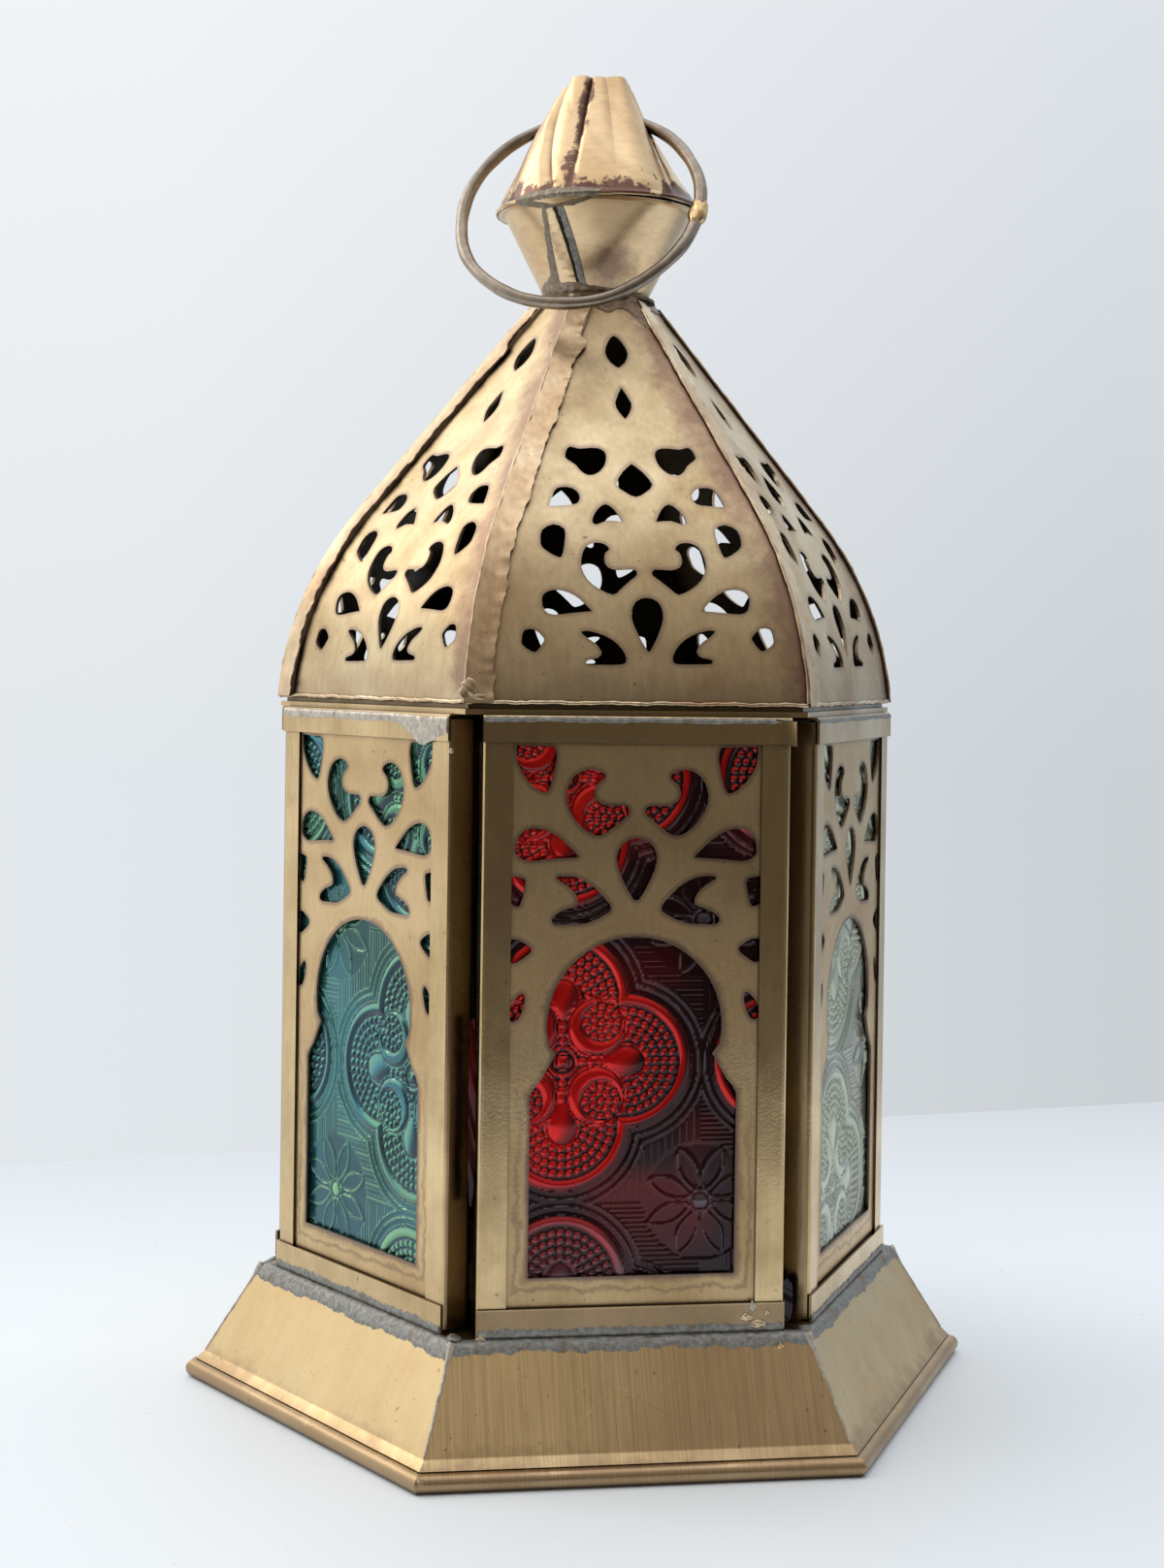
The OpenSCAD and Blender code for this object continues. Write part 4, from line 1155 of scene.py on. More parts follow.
def make_roof_sheet(side):
    """A copy of a roof node as one smooth skin, which takes the node's place."""
    name = "roof_" + SIDES[side]
    sheet = bpy.data.objects.new(name + "_sheet", nodes[name].data.copy())
    bpy.context.scene.collection.objects.link(sheet)
    merge_doubles(sheet, 0.001)
    bpy.ops.object.shade_smooth()
    sheet.data.normals_split_custom_set(roof_shading(sheet.data, side))
    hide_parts(name)
    return finished(sheet, roof_brass, "roof_brass")


roof_sheets = [make_roof_sheet(side) for side in range(6)]
print("Roof sheets:", len(roof_sheets), "triangles each:", triangles(roof_sheets[0]))

# %% [markdown]
# ## Places on the body
#
# What lies on the base, the panels or the roof is drawn on the front side, in mm across, out
# and up, and then turned to its own side. What lies on a corner is drawn in the upright plane
# through it. A place on the base is told by the run along its outer line, from the ledge down.

# %% Places
# The outer line of the base from the ledge down: how far out and how high
SKIRT_OUT = np.array([45.3, 46.2, 46.59, 46.95, 47.24, 54.9])
SKIRT_UP = np.array([18.6, 18.6, 18.53, 18.33, 17.98, 4.3])
SKIRT_RUN = np.concatenate([[0], np.cumsum(np.hypot(np.diff(SKIRT_OUT), np.diff(SKIRT_UP)))])
LEDGE_UP = 18.6
COS_30 = math.cos(math.pi / 6)
# How far out the rails are, half their length and the radius of their folded edge
RAIL_FACE = 46.4
RAIL_HALF = 23.2
RAIL_FOLD = 0.8
SLOPE_REACH = 0.4


def skirt_point(run, lift):
    """A place on the base's line after a run along it, lifted outward: how far out and how high."""
    out = np.interp(run, SKIRT_RUN, SKIRT_OUT)
    up = np.interp(run, SKIRT_RUN, SKIRT_UP)
    before, after = run - SLOPE_REACH, run + SLOPE_REACH
    ahead_out = np.interp(after, SKIRT_RUN, SKIRT_OUT) - np.interp(before, SKIRT_RUN, SKIRT_OUT)
    ahead_up = np.interp(after, SKIRT_RUN, SKIRT_UP) - np.interp(before, SKIRT_RUN, SKIRT_UP)
    size = np.hypot(ahead_out, ahead_up) + 1e-9
    return out - lift * ahead_up / size, up + lift * ahead_out / size


def on_side(across, out, up, side):
    """Turns points of the front to another side: across, out and up in mm."""
    turn = side * SIXTH
    return (across * math.cos(turn) + out * math.sin(turn),
            across * math.sin(turn) - out * math.cos(turn), up)


def on_corner(reach, sway, up, corner):
    """Points in the upright plane through a corner: how far out, how far beside it and how high."""
    turn = (corner - 2) * SIXTH
    return [(r * math.cos(turn) - w * math.sin(turn), r * math.sin(turn) + w * math.cos(turn), z)
            for r, w, z in zip(reach, sway, up)]


def rail_edge(distance):
    """How far a rail's rounded edge falls back at a distance in mm from where it ends."""
    left = np.clip(RAIL_FOLD - distance, 0, RAIL_FOLD)
    return np.sqrt(np.clip(RAIL_FOLD ** 2 - left ** 2, 0, None)) - RAIL_FOLD


print("Length of the base's line in mm:", round(SKIRT_RUN[-1], 1))

# %% [markdown]
# ## Solder along the base
#
# The base was soldered to the body all round its upper edge. The solder filled the narrow
# ledge, flowed over the fold and froze on the slope with a ragged lower edge. On each side it
# is one laid sheet: its first number runs along the side, its second from the lower edge up to
# the ledge, and the wandering length of the flow makes the ragged edge.

# %% Solder bands
# How far down the base each side's solder has flowed, in mm along the base's line
FLOW = {"front": 3.2, "front_right": 3.2, "back_right": 3.9, "back": 3.2, "back_left": 3.9,
        "front_left": 3.9}
# The two ends of a corner's thread: how far out and how high
CORNER_TOP = (46.75, 18.45)
CORNER_FOOT = (54.75, 4.4)


def make_base_solder(side):
    """The run of solder along the upper edge of one side of the base."""
    flow = FLOW[SIDES[side]]

    def surface(u, v):
        ragged = 0.45 * wander(u * 8, side) + 0.22 * wander(u * 47, side + 3) + 0.12 * wander(u * 170, side)
        run = 0.35 + (flow + ragged - 0.35) * (1 - v)
        lift = 0.03 + (0.17 + 0.07 * wander(u * 30 + v * 2, side + 5)) * domed(v)
        out, up = skirt_point(run, lift)
        return on_side((2 * u - 1) * out * TAN_30, out, up, side)

    band = laid_sheet("base_solder_" + SIDES[side], surface, 200, 10, 0.35)
    return finished(band, solder, "skirt_brass")


def make_rail_solder(side):
    """The rough run of solder along the foot of a panel's bottom rail."""
    def surface(u, v):
        ragged = 0.25 * wander(u * 10, side + 9) + 0.22 * wander(u * 70, side) + 0.1 * wander(u * 190, side)
        rise = 0.06 + (1.45 + ragged) * v
        lift = 0.02 + (0.12 + 0.08 * wander(u * 60 + 3 * v, side + 1)) * domed(v)
        return on_side((2 * u - 1) * RAIL_HALF, RAIL_FACE + rail_edge(rise) + lift, LEDGE_UP + rise, side)

    strip = laid_sheet("rail_solder_" + SIDES[side], surface, 200, 7, 0.25)
    return finished(strip, solder, "frame_brass")


def make_corner_solder(corner):
    """The bright thread of solder down one corner of the base, thick on top."""
    share = np.linspace(0, 1, 26)
    out = CORNER_TOP[0] + (CORNER_FOOT[0] - CORNER_TOP[0]) * share
    up = CORNER_TOP[1] + (CORNER_FOOT[1] - CORNER_TOP[1]) * share
    points = on_corner(out / COS_30 + 0.05, 0.10 * wander(share * 9, corner), up, corner)
    radii = 0.30 + 0.42 * ridge(share, 0.12) + 0.03 * wander(share * 21, corner + 2) - 0.12 * share
    return finished(thread("corner_solder_%d" % (corner + 1), points, radii), bright_solder, "skirt_brass")


base_solder = [make_base_solder(side) for side in range(6)]
rail_solder = [make_rail_solder(side) for side in range(6) if side != BACK]
corner_solder = [make_corner_solder(corner) for corner in range(6)]
print("Solder runs:", len(base_solder) + len(rail_solder) + len(corner_solder))

# %% [markdown]
# ## Seams of the roof
#
# Along each hip one roof sheet laps over the next. The lap was hammered down and rubbed, so its
# free edge wanders and stands up a little. A laid sheet follows the roof's curve from the foot
# to the neck, and its width changes with the height. A thin run of solder stands on the hip
# itself, and another turns the lower edge of the roof into a soft line.

# %% Roof seams
SEAM_LIFT = 0.57
SEAM_WIDTH = 3.9
# The lap was trimmed narrower near the neck, after a small tab that was left standing
SEAM_TAB_UP = 170.5
# How far below the top of the roof the seams and the threads end
SEAM_ENDS = 1.9
THREAD_ENDS = 2.3
EAVE_LIP_UP = 113.35


def make_roof_seam(side):
    """The lap along one side's left hip."""
    def surface(u, v):
        up = ROOF_FOOT + 0.1 + (ROOF_TOP - SEAM_ENDS - ROOF_FOOT) * v
        tab = 0.9 * ridge(up - SEAM_TAB_UP, 1.5) - 0.8 * step(up, 171, 172.5)
        width = SEAM_WIDTH + tab + 0.35 * wander(v * 13, side + 2) + 0.16 * wander(v * 60, side)
        width = np.minimum(width, roof_out(up) * TAN_30 * 1.2)
        lean = roof_lean(up)
        curl = 0.26 * u ** 3 * (1 + 0.8 * wander(v * 25, side + 4))
        lift = SEAM_LIFT + curl + 0.05 * wander(v * 30 + u, side)
        out = roof_out(up)
        return on_side(-out * TAN_30 - 0.15 * (1 - u) + width * u, out + lift * np.cos(lean),
                       up + lift * np.sin(lean), side)

    seam = laid_sheet("roof_seam_" + SIDES[side], surface, 7, 150, 0.22)
    return finished(seam, seam_brass, "roof_brass")


def make_hip_solder(side):
    """The thin thread of solder on one side's left hip."""
    up = np.linspace(ROOF_FOOT + 0.3, ROOF_TOP - THREAD_ENDS, 90)
    share = (up - ROOF_FOOT) / (ROOF_TOP - ROOF_FOOT)
    reach = roof_out(up) / COS_30 + 0.25 + 0.06 * wander(share * 17, side)
    points = on_corner(reach, 0.10 * wander(share * 20, side + 6), up + 0.2, side)
    radii = 0.30 + 0.07 * wander(share * 31, side + 1) + 0.04 * wander(share * 90, side)
    return finished(thread("hip_solder_" + SIDES[side], points, radii), rubbed_seam, "roof_brass")


def make_eave_lip(side):
    """The soft line along the lower edge of one roof sheet."""
    share = np.linspace(-1, 1, 70)
    half = ROOF_FOOT_OUT * TAN_30
    rise = 0.14 * wander(share * 9, side + 3) + 0.05 * wander(share * 40, side)
    x, y, z = on_side(share * half, np.full_like(share, ROOF_FOOT_OUT + 0.02), EAVE_LIP_UP + rise, side)
    radii = 0.34 + 0.07 * wander(share * 22, side)
    return finished(thread("eave_lip_" + SIDES[side], list(zip(x, y, z)), radii), rubbed_seam, "roof_brass")


rubbed_seam = brass("rubbed edge, brass and solder", "#e2cfae", "#b09273", "#7a614f", (0.8, 0.8, 2.5),
                    stain_share=0.5, roughness=0.30, brush_depth=0.22, inside_shade=0.0)
roof_seams = [make_roof_seam(side) for side in range(6)]
hip_solder = [make_hip_solder(side) for side in range(6)]
eave_lips = [make_eave_lip(side) for side in range(6)]
print("Seam pieces:", len(roof_seams) + len(hip_solder) + len(eave_lips))

# %% [markdown]
# ## Solder at the eave
#
# The solder that joins the panels to the eave has run down over the top rail of the left
# panel and frozen there with a drip at its right end. The other rails have a thin line of it.
# Here too each run is a laid sheet that falls back at the rail's rounded edge.

# %% Eave solder
RAIL_TOP_UP = 111.44


def make_top_solder(side, smear):
    """The solder over a panel's top rail. smear is 1 where it has run down and 0 elsewhere."""
    def surface(u, v):
        drip = smear * (1.7 * ridge(u - 0.87, 0.07) + 1.5 * step(u, 0.66, 0.86))
        ragged = (0.15 + 0.1 * smear) * wander(u * 9, side) + 0.06 * wander(u * 70, side)
        down = (0.9 + smear * 0.6 + drip + ragged) * (1 - v)
        lift = 0.03 + (0.10 + 0.05 * wander(u * 40 + 2 * v, side + 1)) * domed(v)
        out = RAIL_FACE + rail_edge(down) + lift
        return on_side((2 * u - 1) * RAIL_HALF, out, RAIL_TOP_UP - down, side)

    run = laid_sheet("top_solder_" + SIDES[side], surface, 160, 8, 0.2)
    return finished(run, bright_solder if smear else solder, "frame_brass")


top_solder = [make_top_solder(side, 1.0 if side == FRONT_LEFT else 0.0)
              for side in range(6) if side != BACK]
print("Runs of solder at the eave:", len(top_solder))

# %% [markdown]
# ### Drops
#
# Odd drops sit at the corners, in the left groove and at the right end of the front bottom
# rail. A drop is a small sphere, pressed flat and made uneven by a few waves. The list gives
# its side, its place across, out and up, its half width, thickness and height, and a seed.

# %% Drops
DROPS = [
    ("drop_rail_1", 0, (19.4, 46.45, 19.9), (1.3, 0.32, 0.7), 0.4, rubbed_seam, "frame_brass"),
    ("drop_rail_2", 0, (17.6, 46.45, 21.0), (0.9, 0.25, 0.6), 1.7, rubbed_seam, "frame_brass"),
    ("drop_rail_3", 0, (18.6, 46.40, 22.6), (0.5, 0.30, 0.8), 2.9, bright_solder, "frame_brass"),
    ("drop_rail_4", 0, (20.8, 46.42, 21.6), (0.4, 0.25, 0.5), 4.1, rubbed_seam, "frame_brass"),
    ("drop_rail_5", 0, (-22.6, 46.2, 18.8), (0.8, 0.5, 0.8), 5.3, rubbed_seam, "frame_brass"),
    ("drop_eave_1", 0, (-25.6, 45.3, 115.0), (1.5, 0.5, 1.9), 0.9, rubbed_seam, "roof_brass"),
    ("drop_eave_2", 0, (-23.9, 45.5, 113.9), (1.9, 0.4, 0.6), 2.2, rubbed_seam, "roof_brass"),
    ("drop_groove", 5, (23.5, 45.7, 106.0), (0.40, 0.40, 0.45), 1.2, bright_solder, "frame_brass"),
    ("drop_skirt", 0, (22.6, 47.9, 16.9), (0.5, 0.25, 0.55), 2.6, braze_brass, "skirt_brass"),
    ("drop_corner_left", 5, (26.3, 46.0, 18.9), (1.2, 0.9, 0.6), 3.3, solder, "skirt_brass"),
    ("drop_corner_right", 1, (-26.0, 46.0, 18.8), (1.1, 0.9, 0.5), 4.4, solder, "skirt_brass"),
]


def make_drop(name, side, place, size, seed, material, slot):
    """A frozen drop of solder, as a row of the list gives it."""
    bpy.ops.object.select_all(action="DESELECT")
    bpy.ops.mesh.primitive_ico_sphere_add(subdivisions=4, radius=1)
    drop = bpy.context.object
    drop.name = name
    turn = Matrix.Rotation(side * SIXTH, 3, "Z")
    across, out, up = place
    for v in drop.data.vertices:
        p = v.co.copy()
        lumps = 0.16 * math.sin(3.3 * p.x + seed) * math.cos(2.7 * p.z - seed)
        uneven = 1 + lumps + 0.08 * math.sin(7 * p.z + 5 * p.x + seed)
        local = Vector((p.x * size[0], p.y * size[1], p.z * size[2])) * uneven
        v.co = turn @ (local + Vector((across, -out, up))) * MM
    bpy.ops.object.shade_smooth()
    return finished(drop, material, slot)


drops = [make_drop(*drop) for drop in DROPS]
print("Drops:", len(drops))

# %% [markdown]
# ## Knobs on the base's corners
#
# The rolled bead along the foot of the base ends at each corner in a small knob, where the two
# rolls were pinched together and filed. Each knob is a pressed sphere at the bead's corner.

# %% Bead knobs
BEAD_OUT = 56.0
BEAD_UP = 1.45
KNOB_SIZE = (1.55, 1.75, 1.40)
KNOB_INSET = 0.35


def make_bead_knob(corner):
    """The knob at one corner of the bead, made at the origin and then moved there."""
    knob = make_drop("bead_knob_%d" % (corner + 1), 0, (0, 0, 0), KNOB_SIZE, 0.7 * corner,
                     skirt_brass, "skirt_brass")
    turn = corner * SIXTH + SIXTH / 2
    only(knob)
    knob.rotation_euler.z = turn
    reach = BEAD_OUT / COS_30 - KNOB_INSET
    knob.location = Vector((math.sin(turn) * reach, -math.cos(turn) * reach, BEAD_UP)) * MM
    settle(knob)
    return knob


bead_knobs = [make_bead_knob(corner) for corner in range(6)]
print("Bead knobs:", len(bead_knobs))

# %% [markdown]
# ## The seam of the cup
#
# The cup was rolled from a flat fan of brass. Its ends lap in front, a little to the left, and
# were soldered: the lap stands a sheet's thickness proud, with a painted shadow line beside its
# edge and grey solder on both sides. Each of these is a strip up the cup between two angles.

# %% Cup seam
CUP_FOOT_Z = 180.65
CUP_FOOT_RADIUS = 8.6
CUP_TOP_Z = 194.7
CUP_SLOPE = 7.2 / 14.2
STRIP_FOOT_Z = CUP_FOOT_Z + 0.05


def on_cup(angle, up, lift):
    """A point on the cup at an angle in degrees from the camera's side and a height in mm."""
    radius = CUP_FOOT_RADIUS + CUP_SLOPE * (up - CUP_FOOT_Z) + lift
    turn = np.radians(angle + SEEN_FROM)
    return radius * np.cos(turn), radius * np.sin(turn), up - lift * CUP_SLOPE


def seam_angle(share):
    """Where the edge of the lap lies, at a share of the cup's height."""
    return -17.5 - 10.0 * share


def cup_strip(name, left, right, thick, ragged, material, seed=1):
    """A strip up the cup between two angles, given by functions of the height's share. ragged is
    how uneven its left edge is."""
    def surface(u, v):
        rough = ragged * (1.3 * wander(v * 14, seed) + 0.7 * wander(v * 50, seed + 2))
        angle = left(v) + (right(v) - left(v)) * u + np.where(u < 0.01, rough, 0)
        lift = 0.03 + thick * (0.5 + 0.5 * domed(u)) + 0.03 * wander(v * 30, seed)
        return on_cup(angle, STRIP_FOOT_Z + (CUP_TOP_Z - STRIP_FOOT_Z) * v, lift)

    return finished(laid_sheet(name, surface, 6, 70, 0.25), material, "finial_brass")


flux_solder = make_solder("solder under brown flux", "#7c6b58", "#9c9788", 0.42)
# A near-black brass for the painted shadow beside the lap's edge
lap_shadow = brass("painted shadow beside the cup's lap", "#3a3226", "#2a241c", "#1d1813", (2.0, 2.0, 2.0),
                 stain_share=0.3, roughness=0.5, brush_depth=0.1, inside_shade=0.0)
cup_strips = [
    cup_strip("cup_lap", lambda v: -33 - 6 * (1 - v), lambda v: seam_angle(v) - 1.2,
              0.20, 0.0, finial_brass),
    # A painted shadow line beside the lap's edge
    cup_strip("cup_lap_shadow", lambda v: seam_angle(v) - 1.4, lambda v: seam_angle(v) + 1.6,
              0.02, 0.0, lap_shadow),
    cup_strip("cup_seam_solder", lambda v: seam_angle(v) + 1.5,
              lambda v: seam_angle(v) + 5.5 + 3.0 * (1 - v), 0.08, 0.6, solder, seed=5),
    cup_strip("cup_lap_solder", lambda v: -36 - 17 * (1 - v) ** 1.4,
              lambda v: -31.5 - 8 * (1 - v), 0.16, 0.6, flux_solder, seed=9),
]
print("Strips on the cup:", len(cup_strips))

# %% [markdown]
# ### Solder round the neck and on the rim
#
# More solder lies where the cup stands on the roof, and on the rim above the seam. The cup is
# round and the roof under it has six sides, so the collar takes the cup's radius above the
# joint and the roof's below, found by the angle from the middle of the nearest side.

# %% Neck and rim solder
def make_neck_solder():
    """Solder round the cup's foot, highest left of the seam. It runs down the roof at the right."""
    def surface(u, v):
        angle = -180 + 360 * u
        left = ridge(angle + 42, 34)
        right = ridge(angle - 39, 9) + 0.3 * ridge(angle - 12, 12)
        circle = np.radians(angle)
        ragged = np.sin(5 * circle + 1) * 0.5 + np.sin(13 * circle) * 0.3 + np.sin(29 * circle + 2) * 0.2
        top = 0.5 + 2.3 * left + (0.2 + 0.5 * left) * ragged
        low = -1.9 - 4.5 * right - 0.3 * ragged
        rise = low + (np.maximum(top, 0.2) - low) * v
        around = circle + np.radians(SEEN_FROM)
        off_side = (around + math.pi / 2 + SIXTH / 2) % SIXTH - SIXTH / 2
        roof = roof_out(np.minimum(CUP_FOOT_Z + rise, ROOF_TOP)) / np.cos(off_side)
        cup = CUP_FOOT_RADIUS + CUP_SLOPE * np.maximum(rise, 0)
        lumps = 0.06 * np.sin(17 * circle + 4 * v) + 0.05 * np.sin(31 * circle - 7 * v)
        lift = 0.05 + (0.25 + 0.35 * left * (1 - v) + lumps) * domed(v)
        radius = np.where(rise > 0, cup, np.maximum(roof, CUP_FOOT_RADIUS)) + lift
        return radius * np.cos(around), radius * np.sin(around), CUP_FOOT_Z + rise

    collar = laid_sheet("neck_solder", surface, 240, 16, 0.25, closed=True)
    return finished(collar, neck_metal, "finial_brass")


def make_rim_solder():
    """Solder run under and over the crown's foot above the seam, thick in the middle."""
    def surface(u, v):
        angle = -52 + 54 * u
        fade = np.sin(math.pi * np.clip(u, 0, 1)) ** 0.6
        low = -0.35 - 1.5 * fade * (1 + 0.12 * wander(u * 9, 2))
        top = 0.35 + 0.7 * fade * (1 + 0.25 * wander(u * 13, 6))
        rise = low + (top - low) * v
        tilt = RIM_TILT * (1 + np.sin(np.radians(angle)))
        out = np.interp(rise, [-2.2, -0.6, 0.0, 0.35, 1.5], [-1.75, 0.25, 0.44, 0.08, -0.5])
        lift = 0.03 + (0.22 + 0.10 * wander(u * 24 + v, 8)) * domed(v) * fade
        radius = RIM_RADIUS + out + lift
        turn = np.radians(angle + SEEN_FROM)
        return radius * np.cos(turn), radius * np.sin(turn), RIM_Z + rise + tilt

    return finished(laid_sheet("rim_solder", surface, 90, 12, 0.3), flux_solder, "finial_brass")


neck_metal = make_solder("solder and flux round the neck", "#756656", "#b3a08c", 0.42)
neck_solder = make_neck_solder()
rim_solder = make_rim_solder()
print("Neck solder triangles:", triangles(neck_solder), "rim solder:", triangles(rim_solder))

# %% [markdown]
# ## The bent end of the front top rail
#
# The right end of the front top rail was never pressed flat. A laid sheet bends away from the
# stile there like a turned page corner.

# %% Bent rail end
def make_rail_end():
    """The turned-up corner, some 3 mm wide."""
    def surface(u, v):
        across = 20.9 + 2.9 * u + 0.25 * u * (1 - v)
        bend = 0.9 * u ** 2 * (0.6 + 0.4 * v)
        return on_side(across, RAIL_FACE + 0.06 + bend, 107.5 + 3.75 * v - 0.35 * u, 0)

    return finished(laid_sheet("rail_end_bent", surface, 16, 12, 0.3), frame_brass, "frame_brass")


rail_end = make_rail_end()
print("Rail end:", rail_end.name)

# %% [markdown]
# ## Scratches on the skirt
#
# A few long scratches cross the front of the base. Each is a hair of bright metal on the slope.

# %% Scratches
# Each runs from one place across and up to another, in mm, and has a width
SCRATCHES = [(-4.2, 13.4, 4.9, 8.6, 0.07), (-3.0, 12.8, -11.5, 5.6, 0.05), (3.5, 11.2, 9.0, 13.9, 0.04),
             (14.0, 9.0, 15.5, 13.0, 0.04), (-18.5, 12.0, -15.0, 7.5, 0.04)]


def make_scratch(number, start_across, start_up, end_across, end_up, width):
    """One scratch on the slope of the base's front, thin at both ends."""
    share = np.linspace(0, 1, 18)
    across = start_across + (end_across - start_across) * share + 0.15 * wander(share * 6, number)
    down = SKIRT_UP[-2] - (start_up + (end_up - start_up) * share)
    run = down / (SKIRT_UP[-2] - SKIRT_UP[-1]) * (SKIRT_RUN[-1] - SKIRT_RUN[-2])
    out, up = skirt_point(SKIRT_RUN[-2] + run, 0.0)
    x, y, z = on_side(across, out, up, 0)
    radii = width * np.sin(math.pi * np.clip(share, 0.04, 0.96)) ** 0.5
    scratch = thread("scratch_%d" % (number + 1), list(zip(x, y, z)), radii)
    return finished(scratch, rubbed_seam, "skirt_brass")


scratches = [make_scratch(number, *scratch) for number, scratch in enumerate(SCRATCHES)]
print("Scratches:", len(scratches))

# %% [markdown]
# ## Dressing the CAD nodes
#
# Where a CAD node's shape is already right it stays, and only its finish changes. The finish is
# found by the node's name: the first part of a name in the list that fits it counts.

# %% Finishes for the nodes
FINISHES = {
    "base_": skirt_brass, "_stiles": frame_brass, "_rail": frame_brass, "_fret": pierced_brass,
    "roof_": roof_brass, "eave_ring": frame_brass, "finial": finial_brass, "floor_plate": inner_brass,
    "candle_cup": inner_brass, "neck_collar": inner_brass, "hinge": inner_brass, "door_pull": inner_brass,
    "ring_handle": wire_brass,
}


def dress_nodes():
    """Gives each node its finish and counts them."""
    dressed = 0
    for name, node in nodes.items():
        for part, finish in FINISHES.items():
            if part in name:
                node.data.materials.clear()
                node.data.materials.append(finish)
                dressed += 1
                break
    return dressed


print("Nodes dressed:", dress_nodes())

# %% [markdown]
# ## Pressed glass
#
# Ornamental glass is rolled or pressed while hot, which leaves one face flat and raises a
# pattern on the other. The panes of this lantern are cut from such a sheet, so each shows
# another part of it. The pattern here is a traditional kind: lobed medallions with a banded
# edge and rows of beads, and starry flowers on a ribbed ground between them.
#
# The relief is real geometry, so it bends light and catches highlights. A fine grid is raised
# by a formula, which is the practical way to make hundreds of beads: a hand could not place
# them, and a bump map would be flat when seen from the side. The pattern repeats both ways, and
# each point is measured from the nearest lobe, scroll and flower.

# %% Beads and mouldings
def roll(distance, half):
    """A half-round moulding of the given half width along the line where distance is zero."""
    return np.sqrt(np.clip(1 - (distance / half) ** 2, 0, 1))


def bead_row(reach, turn, radius, count, half):
    """A row of squarish beads on a circle, at a reach from its middle and a turn round it."""
    off = (turn * count / (2 * math.pi) + 0.5) % 1 - 0.5
    along_row = off * 2 * math.pi * radius / count
    return roll(((reach - radius) ** 4 + along_row ** 4) ** 0.25, half)


print("Height of a moulding halfway out:", round(float(roll(0.5, 1)), 2))

# %% [markdown]
# ### The medallion
#
# A medallion has four lobes. Each has a broad moulding along its edge, four rows of beads and a
# drop in the middle. Between two lobes a crescent holds a small disc of beads, and in the heart
# of the medallion stands one bead in a net of thin lines.

# %% Medallion
# All in mm: one repeat, and a lobe's distance from the middle and its radius
REPEAT = 42.5
LOBE_AWAY = 9.3
LOBE_RADIUS = 10.3
BAND_WIDTH = 2.1
BEAD_ROWS = (7.55, 6.25, 4.95, 3.75)
BEAD_STEP = 1.30
SCROLL_AWAY = 5.9
# The radius of each row of beads in the scroll's disc, with how many there are
DISC_ROWS = ((1.25, 7), (2.35, 12))
DISC_RADIUS = 2.95
CRESCENT_SHIFT = 0.75
CRESCENT_RADIUS = 4.25
HEART_RADIUS = 2.6


def lobe_pattern(p, beside, edge):
    """Beads and a drop inside a lobe. p and beside are measured from its middle."""
    reach = np.hypot(p, beside)
    around = np.arctan2(beside, p)
    beads = np.zeros_like(p)
    for radius in BEAD_ROWS:
        count = round(2 * math.pi * radius / BEAD_STEP)
        beads = np.maximum(beads, bead_row(reach, around, radius, count, 0.56))
    drop_reach = np.hypot(np.where(p < 0, p / 3.6, p / 3.1), beside / (2.3 - 0.25 * np.clip(-p, 0, 3)))
    drop = roll(drop_reach, 1.0)
    drop_line = 0.6 * ridge((drop_reach - 1.12) * 2.6, 0.22)
    return np.maximum(np.maximum(beads * 0.8, drop), drop_line) * (edge < -BAND_WIDTH)


def scroll_pattern(a, b):
    """A crescent round a small disc of beads on each diagonal, and where it lies."""
    s = np.abs(a) - SCROLL_AWAY
    t = np.abs(b) - SCROLL_AWAY
    disc = np.hypot(s, t)
    disc_beads = roll(disc, 0.55)
    for radius, count in DISC_ROWS:
        disc_beads = np.maximum(disc_beads, bead_row(disc, np.arctan2(t, s), radius, count, 0.52))
    outer = np.hypot(s + CRESCENT_SHIFT, t + CRESCENT_SHIFT)
    crescent_edge = np.maximum(outer - CRESCENT_RADIUS, DISC_RADIUS - disc)
    crescent = np.clip(-crescent_edge / 0.55, 0, 1) ** 0.5
    line = 0.7 * ridge(outer - (CRESCENT_RADIUS + 0.3), 0.18)
    scroll = np.maximum(np.maximum(disc_beads * 0.8 * (disc < DISC_RADIUS), crescent), line)
    return scroll, outer < CRESCENT_RADIUS + 0.5


def medallion_pattern(a, b, centre, edge, p, beside):
    """The height of the relief inside a medallion."""
    hub = roll(centre, 1.45)
    spokes = 0.6 * ridge(np.minimum(np.abs(a), np.abs(b)), 0.16) * (centre > 2.1) * (centre < 5.6)
    net = 0.7 * ridge(centre - 2.1, 0.2) + spokes
    lobe = lobe_pattern(p, beside, edge)
    scroll, in_scroll = scroll_pattern(a, b)
    outer = np.where(in_scroll, scroll, np.maximum(lobe, net))
    medallion = np.where(centre < HEART_RADIUS, np.maximum(hub, net), outer)
    band = roll(edge + BAND_WIDTH / 2, 0.8) * 0.85 + 0.35 * ridge(edge - 0.05, 0.14)
    return np.where(edge > -BAND_WIDTH, band, medallion)


print("Rows of beads in a lobe:", len(BEAD_ROWS))

# %% [markdown]
# ### The ground and its flowers
#
# Outside the medallions two thin lines follow the lobes, fine ribs fill the ground, and an
# eight-petalled flower stands between four medallions. A pressed line is thin and round, so
# every line here is a narrow ridge.

# %% Ground and whole pattern
PETALS = 8
PETAL_FOOT = 1.7
PETAL_TIP = 8.6
PETAL_HALF = 1.35
RIB_STEP = 0.72


